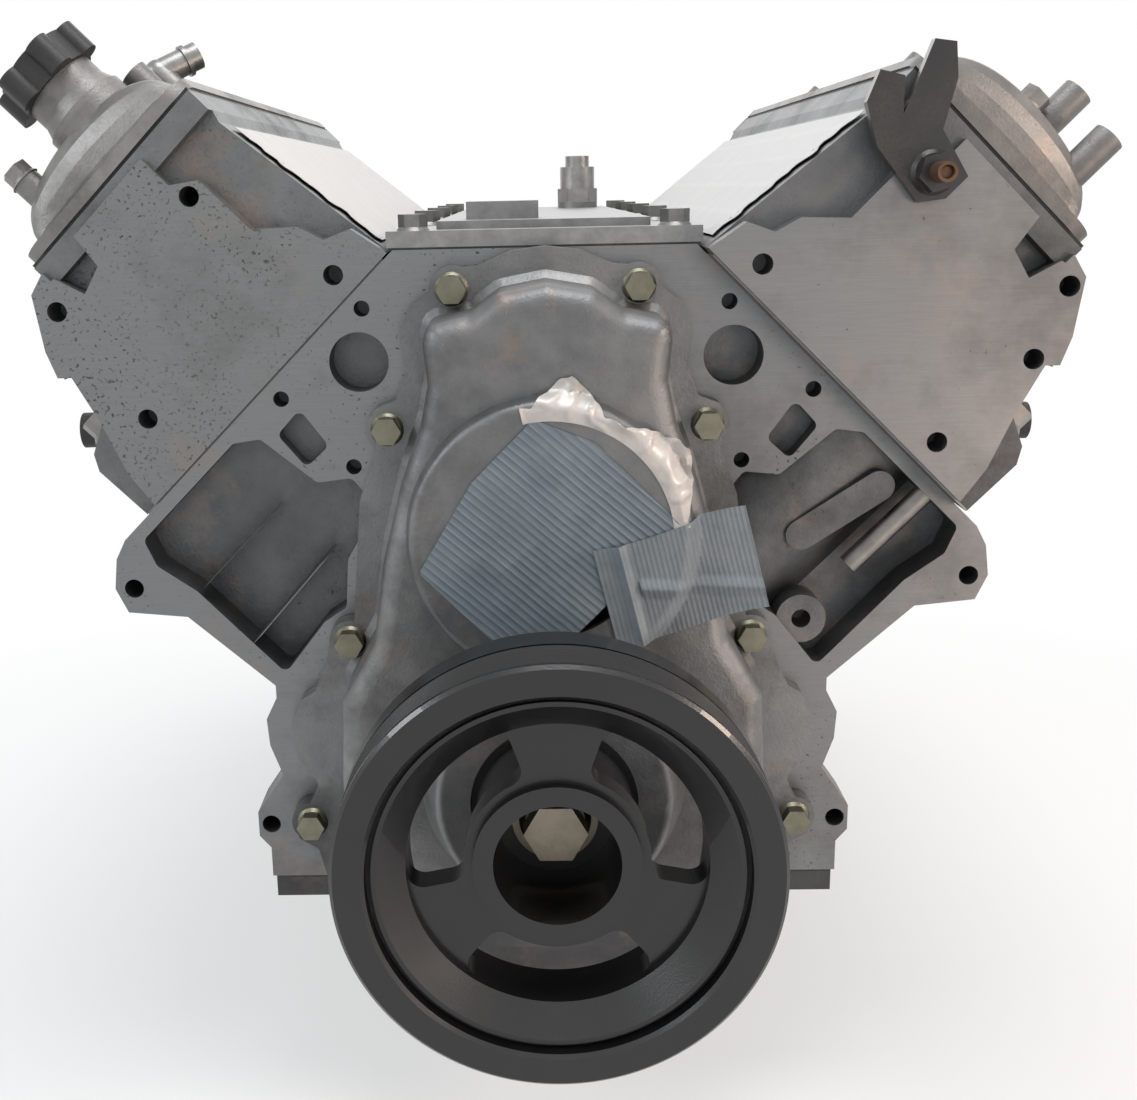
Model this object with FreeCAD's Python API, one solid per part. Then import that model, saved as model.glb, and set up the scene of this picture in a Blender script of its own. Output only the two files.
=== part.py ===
"""Pushrod V8 engine, 90 degrees between its banks, as separate pieces.

Working frame: the crank axis is Y, +Y is rearward, +Z is up, and y = 0 is the block's front face.
Every piece is moved at the end so that the origin lies on the crankshaft's rear flange face.
Bank frame: first axis along the deck away from the valley, second rearward from the bank's first
bore, third out of the deck along the bores. The +X bank stands forward of the other one.
"""
import FreeCAD, Part
import os
from math import acos, asin, atan2, cos, degrees, pi, radians, sin, sqrt

V = FreeCAD.Vector
X, Y, Z = V(1, 0, 0), V(0, 1, 0), V(0, 0, 1)

# Driving dimensions, millimetres
bore_radius = 51.62
bore_pitch = 111.76
bank_stagger = 24.1
cylinders_per_bank = 4
stroke = 92.0
crown_height = 33.8          # wrist pin to the deck at the top of the stroke
deck_height = 234.7
first_bore = 62.0            # front face to the forward bank's first bore
head_end = 86.0              # end bore to the head's end face
head_height = 123.0          # deck to the rocker cover's seat
rear_wall = 51.79            # last main bearing's centre to the rear cover's seat
bell_proud = 8.0             # bell-housing face behind that seat
flange_proud = 20.0          # crankshaft's flange face behind that seat
pan_rail = -80.0
drawn_deck = 234.7           # deck height that the front outlines are drawn at
valley_rise = 22.3           # valley cover's seat above the deck height
cam_height = 124.8
cam_journal_radius = 27.5
main_radius = 32.5
pin_radius = 26.67
web_thickness = 24.0
shell_wall = 2.0
running_gap = 0.03
piston_gap = 0.05
ring_gap = 0.02
counterweight_radius = 84.0
crankcase_radius = 92.0
skirt_inside = 112.0
cap_half_width = 74.0
cap_depth = 70.0
snout_radius = 19.0
wrist_radius = 12.0
rod_width = 24.0
valve_angle = 15.0
valve_offset = 24.0
lifter_radius = 10.7
lobe_base_radius = 18.5
lobe_lift = 7.5
damper_radius = 97.5
damper_front = 162.0         # damper's front rim ahead of the block face
damper_rear = 117.5
cover_flange = 12.0
cover_depth = 60.0
gasket = 1.0
flange_pcd = 79.0
flange_radius = 49.0
flange_hole_radius = 5.5
bolt_m8 = 4.0
bolt_m10 = 5.0
bolt_m11 = 5.5
pan_shallow = -125.0
pan_deep = -220.0
neck_station = 45.0
neck_across = -67.0

half = sqrt(0.5)
crank_radius = stroke / 2
deck_length = (cylinders_per_bank - 1) * bore_pitch
bank_first = {1: first_bore, -1: first_bore + bank_stagger}
pin_stations = [first_bore + bank_stagger / 2 + k * bore_pitch for k in range(cylinders_per_bank)]
main_stations = [pin_stations[0] + (k - 0.5) * bore_pitch for k in range(cylinders_per_bank + 1)]
block_length = main_stations[-1] + rear_wall
flange_station = block_length + flange_proud
rod_length = deck_height - crank_radius - crown_height
rise = deck_height - drawn_deck
valley_top = deck_height + valley_rise
pin_angles = [90, 180, 0, 270]
lifter_across = -cam_height * half
cam_below_deck = cam_height * half - deck_height
bolt_stations = [(k - 0.5) * bore_pitch for k in range(cylinders_per_bank + 1)]
bolt_across = 46.0
pieces = {}


def box(x0, x1, y0, y1, z0, z1):
    return Part.makeBox(x1 - x0, y1 - y0, z1 - z0, V(x0, y0, z0))


def rod(radius, start, end):
    """Round bar between two points."""
    start, end = V(*start), V(*end)
    return Part.makeCylinder(radius, (end - start).Length, start, end - start)


def barrel(radius, y0, y1, x=0, z=0):
    """Round bar along Y."""
    return Part.makeCylinder(radius, y1 - y0, V(x, y0, z), Y)


def ring(outer, inner, y0, y1, x=0, z=0):
    return barrel(outer, y0, y1, x, z).cut(barrel(inner, y0 - 1, y1 + 1, x, z))


def cone(r0, r1, y0, y1, x=0, z=0):
    return Part.makeCone(r0, r1, y1 - y0, V(x, y0, z), Y)


def wire(points, y):
    corners = [V(x, y, z) for x, z in points]
    return Part.makePolygon(corners + corners[:1])


def slab(points, y0, y1):
    """Prism along Y over a section of (x, z) points."""
    return Part.Face(wire(points, y0)).extrude(V(0, y1 - y0, 0))


def soft_face(points, radius, y, inset=0.0):
    """Section with its corners rounded both ways, moved in by a wall if asked."""
    face = Part.Face(wire(points, y))
    face = face.makeOffset2D(-radius).makeOffset2D(2 * radius)
    return face.makeOffset2D(-radius - inset)


def soft_slab(points, radius, y0, y1, inset=0.0):
    return soft_face(points, radius, y0, inset).extrude(V(0, y1 - y0, 0))


def rim_edges(shape, y):
    """Edges that lie in one plane across Y."""
    return [edge for edge in shape.Edges
            if abs(edge.BoundBox.YMin - y) < 0.01 and abs(edge.BoundBox.YMax - y) < 0.01]


def both(points):
    """Section symmetrical in x from its right half, top to bottom."""
    return points + [(-x, z) for x, z in reversed(points) if x > 0]


def risen(points):
    """Points above the camshaft follow the valley's seat."""
    return [(x, z + rise if z > cam_height else z) for x, z in points]


def outward(points):
    """Points near a deck follow it out along the bank."""
    return [(x + half * rise, z + half * rise) if x + z > 240 else (x, z) for x, z in points]


def joined(shapes):
    first, rest = shapes[0], shapes[1:]
    return first.fuse(rest).removeSplitter() if rest else first


def to_bank(shape, side):
    """Bank frame to engine frame."""
    placed = shape.copy()
    placed.translate(V(0, bank_first[side], 0))
    placed.rotate(V(0, 0, 0), Y, 45)
    placed.translate(V(deck_height * half, 0, deck_height * half))
    return placed if side > 0 else placed.mirror(V(0, bank_first[side], 0), X)


def bank_point(across, above):
    """Engine x and z of a bank point on the +X side."""
    return ((deck_height + above + across) * half, (deck_height + above - across) * half)


def hexagon(width, height, base, axis):
    """Hexagonal prism on a base point along an axis."""
    radius = width / sqrt(3)
    points = [V(radius * cos(k * pi / 3), radius * sin(k * pi / 3), 0) for k in range(7)]
    solid = Part.Face(Part.makePolygon(points)).extrude(V(0, 0, height))
    solid.Placement = FreeCAD.Placement(V(*base), FreeCAD.Rotation(Z, V(*axis)))
    return solid


def bolt(radius, length, seat, axis, head=1.0):
    """Flanged hexagon bolt; axis points from the seat out through the head."""
    seat, axis = V(*seat), V(*axis).normalize()
    shank = Part.makeCylinder(radius, length, seat - axis * length, axis)
    flange = Part.makeCone(radius * 2.1, radius * 1.75, radius * 0.45, seat, axis)
    top = hexagon(radius * 3.2, radius * 1.6 * head, tuple(seat + axis * radius * 0.4), tuple(axis))
    return joined([shank, flange, top])


def keep(name, shapes):
    """Add solids to one node, moving the origin to the crankshaft's flange face."""
    for shape in shapes if isinstance(shapes, list) else [shapes]:
        shape = shape.copy()
        shape.translate(V(0, -flange_station, 0))
        pieces.setdefault(name, []).append(shape)


def bank_bores(side):
    return [bank_first[side] + k * bore_pitch for k in range(cylinders_per_bank)]


# Engine block ---------------------------------------------------------------------------------

valley_inner = bank_point(-126, 0)
deck_outer = bank_point(76, 0)
block_half = [(0, valley_top), (valley_inner[0] - 2, valley_top), valley_inner, deck_outer] + outward([
    (225, 102), (227, 86), (221, 73), (190, 70), (146, 31), (146, 24), (152, 12), (151, -3),
    (145, -20), (160, -42), (160, -56), (154, -63), (154, pan_rail)])
pump_holes = outward([(91.2, 228.9), (134.0, 184.4), (98.7, 148.9)])
round_port = outward([(93.7, 202.3)])[0]
round_port_radius = 15.0
cover_holes = risen([(45.6, 238.3), (79.7, 169.8), (103.4, 59.2), (128.5, -42.5)])
side_lugs = outward([(217, 86), (153, -49)])
pocket_half = outward([(88, 128), (100, 143), (118, 141), (146, 164), (160, 162), (210, 112), (204, 98),
                       (184, 84), (140, 38), (118, 66), (106, 74), (104, 100)])
pocket_depth = 22.0
thread_depth = 16.0
port_depth = 18.0
mount_spacing_y = 86.0
mount_spacing_z = 48.0
mount_middle = (152.0, 300.0, -22.0)


def crankcase_space():
    """Room for the crank throws in each bay, and the caps' register."""
    space = [box(-cap_half_width, cap_half_width, -1, block_length + 1, pan_rail - 1, 0)]
    for station in pin_stations:
        reach = (bore_pitch - web_thickness) / 2
        space.append(barrel(crankcase_radius, station - reach, station + reach))
        space.append(box(-skirt_inside, skirt_inside, station - reach, station + reach,
                         pan_rail - 1, 20))
    rear = main_stations[-1] + web_thickness / 2
    space.append(barrel(flange_radius + 13, rear, block_length + 1))
    for station in main_stations:
        seat = main_radius + running_gap + shell_wall
        space.append(barrel(seat, station - web_thickness, station + web_thickness))
    return space


def bank_space(side):
    """Bores, lifter bores, pushrod passages and head bolt holes of one bank."""
    space = []
    for k in range(cylinders_per_bank):
        y = k * bore_pitch
        space.append(rod(bore_radius, (0, y, 1), (0, y, 85 - deck_height)))
        for offset in (-valve_offset, valve_offset):
            low = (lifter_across, y + offset, cam_below_deck + 18)
            space.append(rod(lifter_radius + running_gap, low, (lifter_across, y + offset, 1)))
            space.append(rod(12, (lifter_across, y + offset, -62), (lifter_across, y + offset, 1)))
    for y in bolt_stations:
        for across in (-bolt_across, bolt_across):
            space.append(rod(bolt_m11, (across, y, -72), (across, y, 1)))
    return [to_bank(shape, side) for shape in space]


def valley_space():
    trough = both([(0, valley_top + 1), (60, valley_top + 1), (60, 232), (44, 196), (16, 166)])
    return [slab(trough, 24, block_length - 40),
            barrel(cam_journal_radius + running_gap, -1, main_stations[-1] + 24, 0, cam_height)]


def front_details():
    """Pump and cover holes, coolant ports and cast pockets of the front face."""
    cuts = []
    for side in (-1, 1):
        for x, z in pump_holes + cover_holes:
            cuts.append(barrel(bolt_m8, -1, thread_depth, side * x, z))
        cuts.append(barrel(round_port_radius, -1, port_depth, side * round_port[0], round_port[1]))
        pocket = soft_slab([(side * x, z) for x, z in pocket_half], 4, -1, pocket_depth)
        cuts.append(pocket.cut(to_bank(rod(bore_radius + 5.5, (0, 0, 20), (0, 0, -170)), side)))
        port = [(side * x, z) for x, z in [(111, 160), (123, 149), (137, 166), (125, 179)]]
        cuts.append(soft_slab(port, 3.5, -1, port_depth - 6))
        for x, z in side_lugs:
            cuts.append(barrel(bolt_m10, -1, 30, side * x, z))
    return cuts


def pocket_islands():
    """Ribs, pads and the port's lip standing in the front pockets."""
    pad = joined([barrel(8, 4, pocket_depth + 1, 131, 108), barrel(8, 4, pocket_depth + 1, 170, 133),
                  slab([(126.6, 114.7), (135.4, 101.3), (174.4, 126.3), (165.6, 139.7)], 4,
                       pocket_depth + 1)])
    islands = [pad, barrel(13, 3, pocket_depth + 1, 132, 63).cut(barrel(bolt_m10, 2, 20, 132, 63))]
    for inner, outer in (((143, 124), (178, 88)), ((116, 100), (154, 57))):
        (x0, z0), (x1, z1) = inner, outer
        rib = [(-x0 - 3, z0 - 3), (-x0 + 3, z0 + 3), (-x1 + 3, z1 + 3), (-x1 - 3, z1 - 3)]
        islands.append(slab(rib, 0, pocket_depth + 1))
    clear = to_bank(rod(bore_radius + 3, (0, 0, 20), (0, 0, -170)), 1)
    return [island.cut(clear) for island in islands]


def side_pockets():
    """Recesses of the skirts between the bulkheads, which leave the cast ribs."""
    cuts = []
    for station in pin_stations:
        reach = (bore_pitch - web_thickness) / 2
        for side in (-1, 1):
            low = [(side * 132, -56), (side * 132, -6), (side * 240, -6), (side * 240, -56)]
            high = [(side * 136, 12), (side * 150, 42), (side * 198, 84), (side * 260, 84),
                    (side * 260, 12)]
            if abs(station - mount_middle[1]) > bore_pitch * 0.7:
                cuts.append(slab(low, station - reach, station + reach))
            upper = slab(high, station - reach, station + reach)
            cuts.append(upper.cut(to_bank(rod(bore_radius + 7, (0, 0, 20), (0, 0, -170)), 1)))
    return cuts


def bell_flange():
    """Arched bell-housing flange with its bolt ears."""
    front, face = block_length - 12, block_length + bell_proud
    arch = ring(208, 186, front, face)
    arch = arch.cut(box(-260, 260, front - 1, face + 1, -260, 0))
    legs = [box(side * 197 - 11, side * 197 + 11, front, face, -70, 1) for side in (-1, 1)]
    feet = [slab([(side * 140, -80), (side * 140, -50), (side * 190, -50), (side * 208, -70),
                  (side * 208, -80)], front, face) for side in (-1, 1)]
    ears = [barrel(15, front, face, side * x, z) for x, z in bell_holes for side in (-1, 1)]
    return joined([arch] + legs + feet + ears)


bell_holes = [(110.0, 165.0), (194.0, 52.0), (188.0, -62.0)]


def mount_pads():
    """Machined pads with four threaded bosses on each side for the engine mounts."""
    x, y, z = mount_middle
    pads, holes = [], []
    for side in (-1, 1):
        for dy in (-mount_spacing_y / 2, mount_spacing_y / 2):
            for dz in (-mount_spacing_z / 2, mount_spacing_z / 2):
                centre = (side * x, y + dy, z + dz)
                pads.append(rod(13, (side * 116, y + dy, z + dz), (side * 163, y + dy, z + dz)))
                holes.append(rod(bolt_m10, (side * 133, y + dy, z + dz), (side * 164, y + dy, z + dz)))
    return pads, holes


def core_bars(radius, start):
    """Bars on the axes of the cup plugs low on each bank's outer side."""
    bars = []
    for side in (1, -1):
        for k in range(3):
            y = bank_first[side] + (k + 0.5) * bore_pitch
            bars.append(rod(radius, (side * (150 + start * half), y, 44 - start * half),
                            (side * 160, y, 34)))
    return bars


def engine_block():
    body = slab(both(block_half), 0, block_length)
    body = body.cut(side_pockets())
    pads, pad_holes = mount_pads()
    seats = [rod(22, (side * 140, bank_first[side] + (k + 0.5) * bore_pitch, 54),
                 (side * 159, bank_first[side] + (k + 0.5) * bore_pitch, 35))
             for side in (1, -1) for k in range(3)]
    body = body.fuse([bell_flange()] + pads + seats)
    body = body.cut(crankcase_space() + valley_space() + bank_space(1) + bank_space(-1))
    body = body.cut(front_details() + core_bars(17, 0))
    body = body.fuse(pocket_islands())
    bell = [barrel(bolt_m10, block_length - 13, block_length + bell_proud + 1, side * x, z)
            for x, z in bell_holes for side in (-1, 1)]
    body = body.cut(pad_holes + bell + cover_bolt_holes())
    keep("engine_block", max(body.removeSplitter().Solids, key=lambda solid: solid.Volume))


valley_bolts = [(side * 65, 11 + k * 112) for k in range(5) for side in (-1, 1)]
pan_bolts = [(side * 144, 30 + k * 114) for k in range(5) for side in (-1, 1)]
rear_bolts = [(80, 60), (84, 8), (84, -50)]


def cover_bolt_holes():
    """Threaded holes for the valley cover, the oil pan and the rear cover."""
    holes = [rod(bolt_m8, (x, y, valley_top - 20), (x, y, valley_top + 1)) for x, y in valley_bolts]
    holes += [rod(bolt_m8, (x, y, pan_rail - 1), (x, y, pan_rail + 18)) for x, y in pan_bolts]
    for side in (-1, 1):
        holes += [barrel(bolt_m8, block_length - 18, block_length + 1, side * x, z)
                  for x, z in rear_bolts]
    return holes


# Crank train ----------------------------------------------------------------------------------

def main_caps():
    caps, bolts = [], []
    for station in main_stations:
        y0, y1 = station - web_thickness / 2, station + web_thickness / 2
        outline = [(cap_half_width, 0), (cap_half_width, -40), (58, -cap_depth),
                   (-58, -cap_depth), (-cap_half_width, -40), (-cap_half_width, 0)]
        cap = slab(outline, y0, y1)
        cap = cap.cut(barrel(main_radius + running_gap + shell_wall, y0 - 1, y1 + 1))
        for x in (-48, 48):
            cap = cap.cut(rod(bolt_m10, (x, station, -cap_depth - 1), (x, station, 1)))
            bolts.append(bolt(bolt_m10, cap_depth - 1, (x, station, -cap_depth), (0, 0, -1)))
        caps.append(cap)
    keep("main_bearing_caps", caps)
    keep("main_cap_bolts", bolts)


def main_bearings():
    shells = []
    for station in main_stations:
        whole = ring(main_radius + running_gap + shell_wall, main_radius + running_gap,
                     station - 11, station + 11)
        for z0, z1 in ((0, 50), (-50, 0)):
            shells.append(whole.common(box(-50, 50, station - 12, station + 12, z0, z1)))
    keep("main_bearings", shells)


def throw(station, angle):
    """One crankpin with its two webs and counterweights."""
    x, z = crank_radius * cos(radians(angle)), crank_radius * sin(radians(angle))
    journal = web_thickness / 2 + 1
    outer, inner = bore_pitch / 2 - journal, rod_width + 0.5
    parts = [barrel(pin_radius, station - outer, station + outer, x, z)]
    for y0, y1 in ((station - outer, station - inner), (station + inner, station + outer)):
        arm = barrel(main_radius + 9, y0, y1).fuse(barrel(pin_radius + 8, y0, y1, x, z))
        weight = barrel(counterweight_radius, y0, y1)
        weight = weight.cut(box(-100, 100, y0 - 1, y1 + 1, -12, 100).rotated(V(0, 0, 0), Y, 90 - angle))
        parts.append(arm.fuse(weight))
    return joined(parts)


def crankshaft():
    last = main_stations[-1]
    parts = [throw(y, angle) for y, angle in zip(pin_stations, pin_angles)]
    for station in main_stations:
        parts.append(barrel(main_radius, station - web_thickness / 2 - 1.5,
                            station + web_thickness / 2 + 1.5))
    parts.append(barrel(snout_radius, -94, main_stations[0]))
    parts.append(barrel(main_radius - 4, -6, main_stations[0]))
    parts.append(barrel(main_radius + 5, last + web_thickness / 2 + 1, block_length - 12))
    parts.append(barrel(flange_radius, block_length - 12, flange_station))
    shaft = joined(parts)
    holes = [barrel(flange_hole_radius, flange_station - 22, flange_station + 1,
                    flange_pcd / 2 * cos(k * pi / 3), flange_pcd / 2 * sin(k * pi / 3))
             for k in range(6)]
    holes.append(barrel(19, flange_station - 16, flange_station + 1))
    holes.append(barrel(8, -95, -54))
    keep("crankshaft", shaft.cut(holes))


def pin_height(side, angle):
    """Wrist pin's distance from the crank axis along the bank at rest."""
    swing = radians(angle - (45 if side > 0 else 135))
    return crank_radius * cos(swing) + sqrt(rod_length ** 2 - (crank_radius * sin(swing)) ** 2)


def piston(side, k):
    """Piston with its pin and three rings, in the bank frame."""
    wrist = pin_height(side, pin_angles[k]) - deck_height
    y = k * bore_pitch
    crown = wrist + crown_height - 0.3
    radius = bore_radius - piston_gap
    body = rod(radius, (0, y, wrist - 19), (0, y, crown))
    body = body.cut(rod(radius - 5, (0, y, wrist - 20), (0, y, crown - 9)))
    bosses = [rod(wrist_radius + 6, (0, y - 44, wrist), (0, y - 16, wrist)),
              rod(wrist_radius + 6, (0, y + 16, wrist), (0, y + 44, wrist))]
    inside = rod(radius - 1, (0, y, wrist - 19), (0, y, crown - 1))
    body = body.fuse([boss.common(inside) for boss in bosses])
    body = body.cut([box(-60, 60, y - 60, y - 44, wrist - 20, wrist + 13),
                     box(-60, 60, y + 44, y + 60, wrist - 20, wrist + 13),
                     rod(wrist_radius, (0, y - 60, wrist), (0, y + 60, wrist))])
    rings = []
    for depth, height in ((6, 1.5), (12, 1.5), (18, 3)):
        top = crown - depth
        sleeve = rod(bore_radius - ring_gap, (0, y, top - height), (0, y, top))
        sleeve = sleeve.cut(rod(radius - 4, (0, y, top - height - 1), (0, y, top + 1)))
        body = body.cut(sleeve)
        rings.append(sleeve)
    pin = rod(wrist_radius, (0, y - 32, wrist), (0, y + 32, wrist))
    pin = pin.cut(rod(6, (0, y - 33, wrist), (0, y + 33, wrist)))
    return [to_bank(shape, side) for shape in [body, pin] + rings]


def piston_nodes():
    number = {1: [1, 3, 5, 7], -1: [2, 4, 6, 8]}
    for side in (1, -1):
        for k in range(cylinders_per_bank):
            keep("piston_%d" % number[side][k], piston(side, k))


def connecting_rod(side, k):
    """Rod from a crankpin to its wrist pin, in the engine frame."""
    angle = radians(pin_angles[k])
    low = V(crank_radius * cos(angle), 0, crank_radius * sin(angle))
    height = pin_height(side, pin_angles[k])
    high = V(side * height * half, 0, height * half)
    y = bank_first[side] + k * bore_pitch
    solid = joined([barrel(pin_radius + 11, -rod_width / 2, rod_width / 2),
                    box(-12, 12, -8, 8, pin_radius + 4, rod_length - wrist_radius - 2),
                    box(-42, 42, -9, 9, -16, 16),
                    barrel(wrist_radius + 5, -rod_width / 2, rod_width / 2, 0, rod_length)])
    solid = solid.cut([barrel(pin_radius + running_gap, -20, 20),
                       barrel(wrist_radius + running_gap, -20, 20, 0, rod_length),
                       box(-7, 7, -9, -4, pin_radius + 14, rod_length - wrist_radius - 10),
                       box(-7, 7, 4, 9, pin_radius + 14, rod_length - wrist_radius - 10)])
    lean = degrees(atan2(high.x - low.x, high.z - low.z))
    solid.rotate(V(0, 0, 0), Y, lean)
    solid.translate(V(low.x, y, low.z))
    return solid


def connecting_rods():
    keep("connecting_rods", [connecting_rod(side, k) for side in (1, -1)
                             for k in range(cylinders_per_bank)])


# Cam drive and oil pump -----------------------------------------------------------------------

cam_teeth = 42
crank_teeth = 21
chain_pitch = 9.525
roller_radius = 3.0
sprocket_front = -19.0
sprocket_back = -9.0


def pitch_radius(teeth):
    return chain_pitch / 2 / sin(pi / teeth)


def lobe(station, angle, height):
    nose = 8.0
    base = barrel(lobe_base_radius, station - 7, station + 7)
    tip = barrel(nose, station - 7, station + 7, 0, lobe_base_radius + lobe_lift - nose)
    centre = lobe_base_radius + lobe_lift - nose
    flank = acos((lobe_base_radius - nose) / centre)
    points = [(lobe_base_radius * sin(flank), lobe_base_radius * cos(flank)),
              (nose * sin(flank), centre + nose * cos(flank))]
    points += [(-x, z) for x, z in reversed(points)]
    shape = joined([base, tip, slab(points, station - 7, station + 7)])
    shape.rotate(V(0, 0, 0), Y, angle)
    shape.translate(V(0, 0, height))
    return shape


def camshaft():
    last = main_stations[-1]
    parts = [barrel(15, -6, last + 12, 0, cam_height)]
    for station in main_stations:
        parts.append(barrel(cam_journal_radius, station - 11, station + 11, 0, cam_height))
    for side in (1, -1):
        for k, y in enumerate(bank_bores(side)):
            for valve, offset in enumerate((-valve_offset, valve_offset)):
                angle = side * 45 + pin_angles[k] / 2 + 110 * valve
                parts.append(lobe(y + offset, angle, cam_height))
    shaft = joined(parts)
    keep("camshaft", shaft.cut(barrel(5, -7, 20, 0, cam_height)))


def sprocket(teeth, bore, height, hub):
    radius = pitch_radius(teeth)
    disc = barrel(radius - 1.2, sprocket_front, sprocket_back, 0, height)
    gaps = [barrel(roller_radius + 0.6, sprocket_front - 1, sprocket_back + 1,
                   radius * cos(2 * pi * k / teeth), height + radius * sin(2 * pi * k / teeth))
            for k in range(teeth)]
    disc = disc.cut(gaps)
    disc = disc.fuse(barrel(hub, sprocket_front - 2, -6, 0, height))
    return disc.cut(barrel(bore, -40, 1, 0, height))


def timing_drive():
    small = sprocket(crank_teeth, snout_radius, 0, 26)
    keep("crank_sprocket", small)
    large = sprocket(cam_teeth, 5, cam_height, 24)
    windows = [barrel(9, -30, 0, 40 * cos(k * pi / 3), cam_height + 40 * sin(k * pi / 3))
               for k in range(6)]
    keep("cam_sprocket", large.cut(windows))
    keep("cam_sprocket", bolt(5, 22, (0, sprocket_front - 2, cam_height), (0, -1, 0)))
    plate = ring(44, cam_journal_radius - 4, -4, 0, 0, cam_height)
    plate = plate.cut([box(-50, 50, -5, 1, cam_height + 30, cam_height + 50)])
    keep("cam_retainer", plate)


def chain_points():
    """Roller centres: in the tooth gaps on both wraps, evenly spaced on the two strands."""
    low, high = pitch_radius(crank_teeth), pitch_radius(cam_teeth)
    tilt = asin((high - low) / cam_height)
    wraps = []
    for teeth, radius, height, start, stop in (
            (cam_teeth, high, cam_height, -tilt, pi + tilt),
            (crank_teeth, low, 0, pi + tilt, 2 * pi - tilt)):
        step = 2 * pi / teeth
        first, last = int(start / step - 0.01), int(stop / step + 0.01)
        chosen = [k for k in range(first, last + 1) if start - 0.01 <= k * step <= stop + 0.01]
        wraps.append([(radius * cos(k * step), height + radius * sin(k * step)) for k in chosen])
    points = []
    for wrap, following in zip(wraps, wraps[1:] + wraps[:1]):
        points += wrap
        (x0, z0), (x1, z1) = wrap[-1], following[0]
        count = round(sqrt((x1 - x0) ** 2 + (z1 - z0) ** 2) / chain_pitch)
        points += [(x0 + (x1 - x0) * i / count, z0 + (z1 - z0) * i / count) for i in range(1, count)]
    return points


def timing_chain():
    points = chain_points()
    links = []
    middle = (sprocket_front + sprocket_back) / 2
    for i, (x, z) in enumerate(points):
        x1, z1 = points[(i + 1) % len(points)]
        lean = degrees(atan2(x1 - x, z1 - z))
        outer = 1.4 * (i % 2)
        parts = [barrel(roller_radius, middle - 7.8, middle + 7.8)]
        for y in (middle - 6.4 - outer, middle + 5.2 + outer):
            parts.append(box(-3.6, 3.6, y, y + 1.2, -1.5, chain_pitch + 1.5))
        for part in parts:
            part.rotate(V(0, 0, 0), Y, lean)
            part.translate(V(x, 0, z))
        links.append(joined(parts))
    keep("timing_chain", links[0].fuse(links[1:]))


pump_front = -48.0
pump_back = -23.0
pump_radius = 50.0
rotor_offset = 4.0


def rotor_outline(lobes, mean, swing, phase):
    points = []
    for k in range(lobes * 12):
        turn = 2 * pi * k / (lobes * 12)
        radius = mean + swing * cos(lobes * turn + phase)
        points.append((radius * cos(turn), radius * sin(turn)))
    return points


def oil_pump():
    inner_y = (pump_front + 4, pump_back - 4)
    cavity = barrel(38, inner_y[0] - 0.1, inner_y[1] + 0.1, 0, rotor_offset)
    body = joined([barrel(pump_radius, pump_front, pump_back),
                   box(18, 70, pump_front, pump_back, -46, -20)])
    seat = barrel(27.5, pump_front - 1, pump_back + 1)
    ears = [barrel(10, pump_back, 0, side * 62, z) for side in (-1, 1) for z in (22, -10)]
    arms = [box(min(side * 40, side * 66), max(side * 40, side * 66), pump_back - 8, pump_back,
                z - 8, z + 8) for side in (-1, 1) for z in (22, -10)]
    body = joined([body] + ears + arms).cut([cavity, seat])
    body = body.cut(barrel(7, pump_front - 1, pump_back + 1, 60, -33))
    keep("oil_pump_housing", body)
    outer = barrel(38 - 0.05, inner_y[0], inner_y[1], 0, rotor_offset)
    hollow = slab(rotor_outline(9, 31.2, 2.6, pi / 2), inner_y[0] - 1, inner_y[1] + 1)
    hollow.translate(V(0, 0, rotor_offset))
    keep("oil_pump_outer_rotor", outer.cut(hollow))
    drive = slab(rotor_outline(8, 26.4, 1.8, 0), inner_y[0], inner_y[1])
    keep("oil_pump_inner_rotor", drive.cut(barrel(snout_radius, -60, 0)))


def pickup_tube():
    route = [(60, pump_back - 6, -33), (60, -12, -33), (60, -12, -108), (40, 300, -111), (0, 362, -196)]
    bends = [Part.makeSphere(7, V(*point)) for point in route[1:-1]]
    bars = [rod(7, start, end) for start, end in zip(route, route[1:])]
    keep("oil_pickup", joined(bars + bends + [Part.makeCone(34, 12, 14, V(0, 362, -208), Z)]))


def windage_tray():
    front, rear = main_stations[0] + 16, main_stations[-1] + 5
    outer = ring(107, 105.5, front, rear)
    keepout = box(-70, 70, front - 1, rear + 1, -110, -80)
    tray = outer.common(keepout)
    slots = [box(-60 + 24 * i, -46 + 24 * i, y - 16, y + 16, -110, -60) for i in range(5)
             for y in pin_stations]
    posts = [rod(4, (x, y, -cap_depth - 10), (x, y, -sqrt(106 ** 2 - x * x)))
             for x in (-48, 48) for y in (main_stations[1], main_stations[3])]
    keep("windage_tray", joined([tray.cut(slots)] + posts))


# Cylinder heads -------------------------------------------------------------------------------

exhaust_face = 62.0
head_profile = [(-126, gasket), (-114, head_height - 19), (-116, head_height - 13), (-116, head_height),
                (2, head_height), (2, head_height - 23),
                (8, 92), (30, 74), (40, 50), (57, 42), (exhaust_face, 34),
                (exhaust_face, gasket)]
end_profile = [(-126, gasket), (-122, 22), (-109, 28), (-105, 41), (-88, 57), (-88, 91), (-76, 100),
               (-76, 118), (-25, 118), (-22, 100), (-7, 96), (-2, 112), (12, 115), (29, 92), (35, 79),
               (30, 74), (37, 50), (48, 21), (51, gasket)]
end_slab = 13.0
box_floor = 80.0
box_wall = 8.0
valve_seat = 10.0
stem_radius = 4.0
spring_foot = 84.5
spring_top = 110.0
valve_tip = 116.0
end_holes = {"A": [(-102.4, 13.5), (9.7, 106.8), (23.7, 72.3), (20.6, 13.1), (-77, 96)],
             "B": [(-99.7, 12.9), (-78.9, 89.3), (9.5, 100.4), (19.1, 32.6)]}
end_hole_radius = {"A": bolt_m10, "B": bolt_m10}


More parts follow.
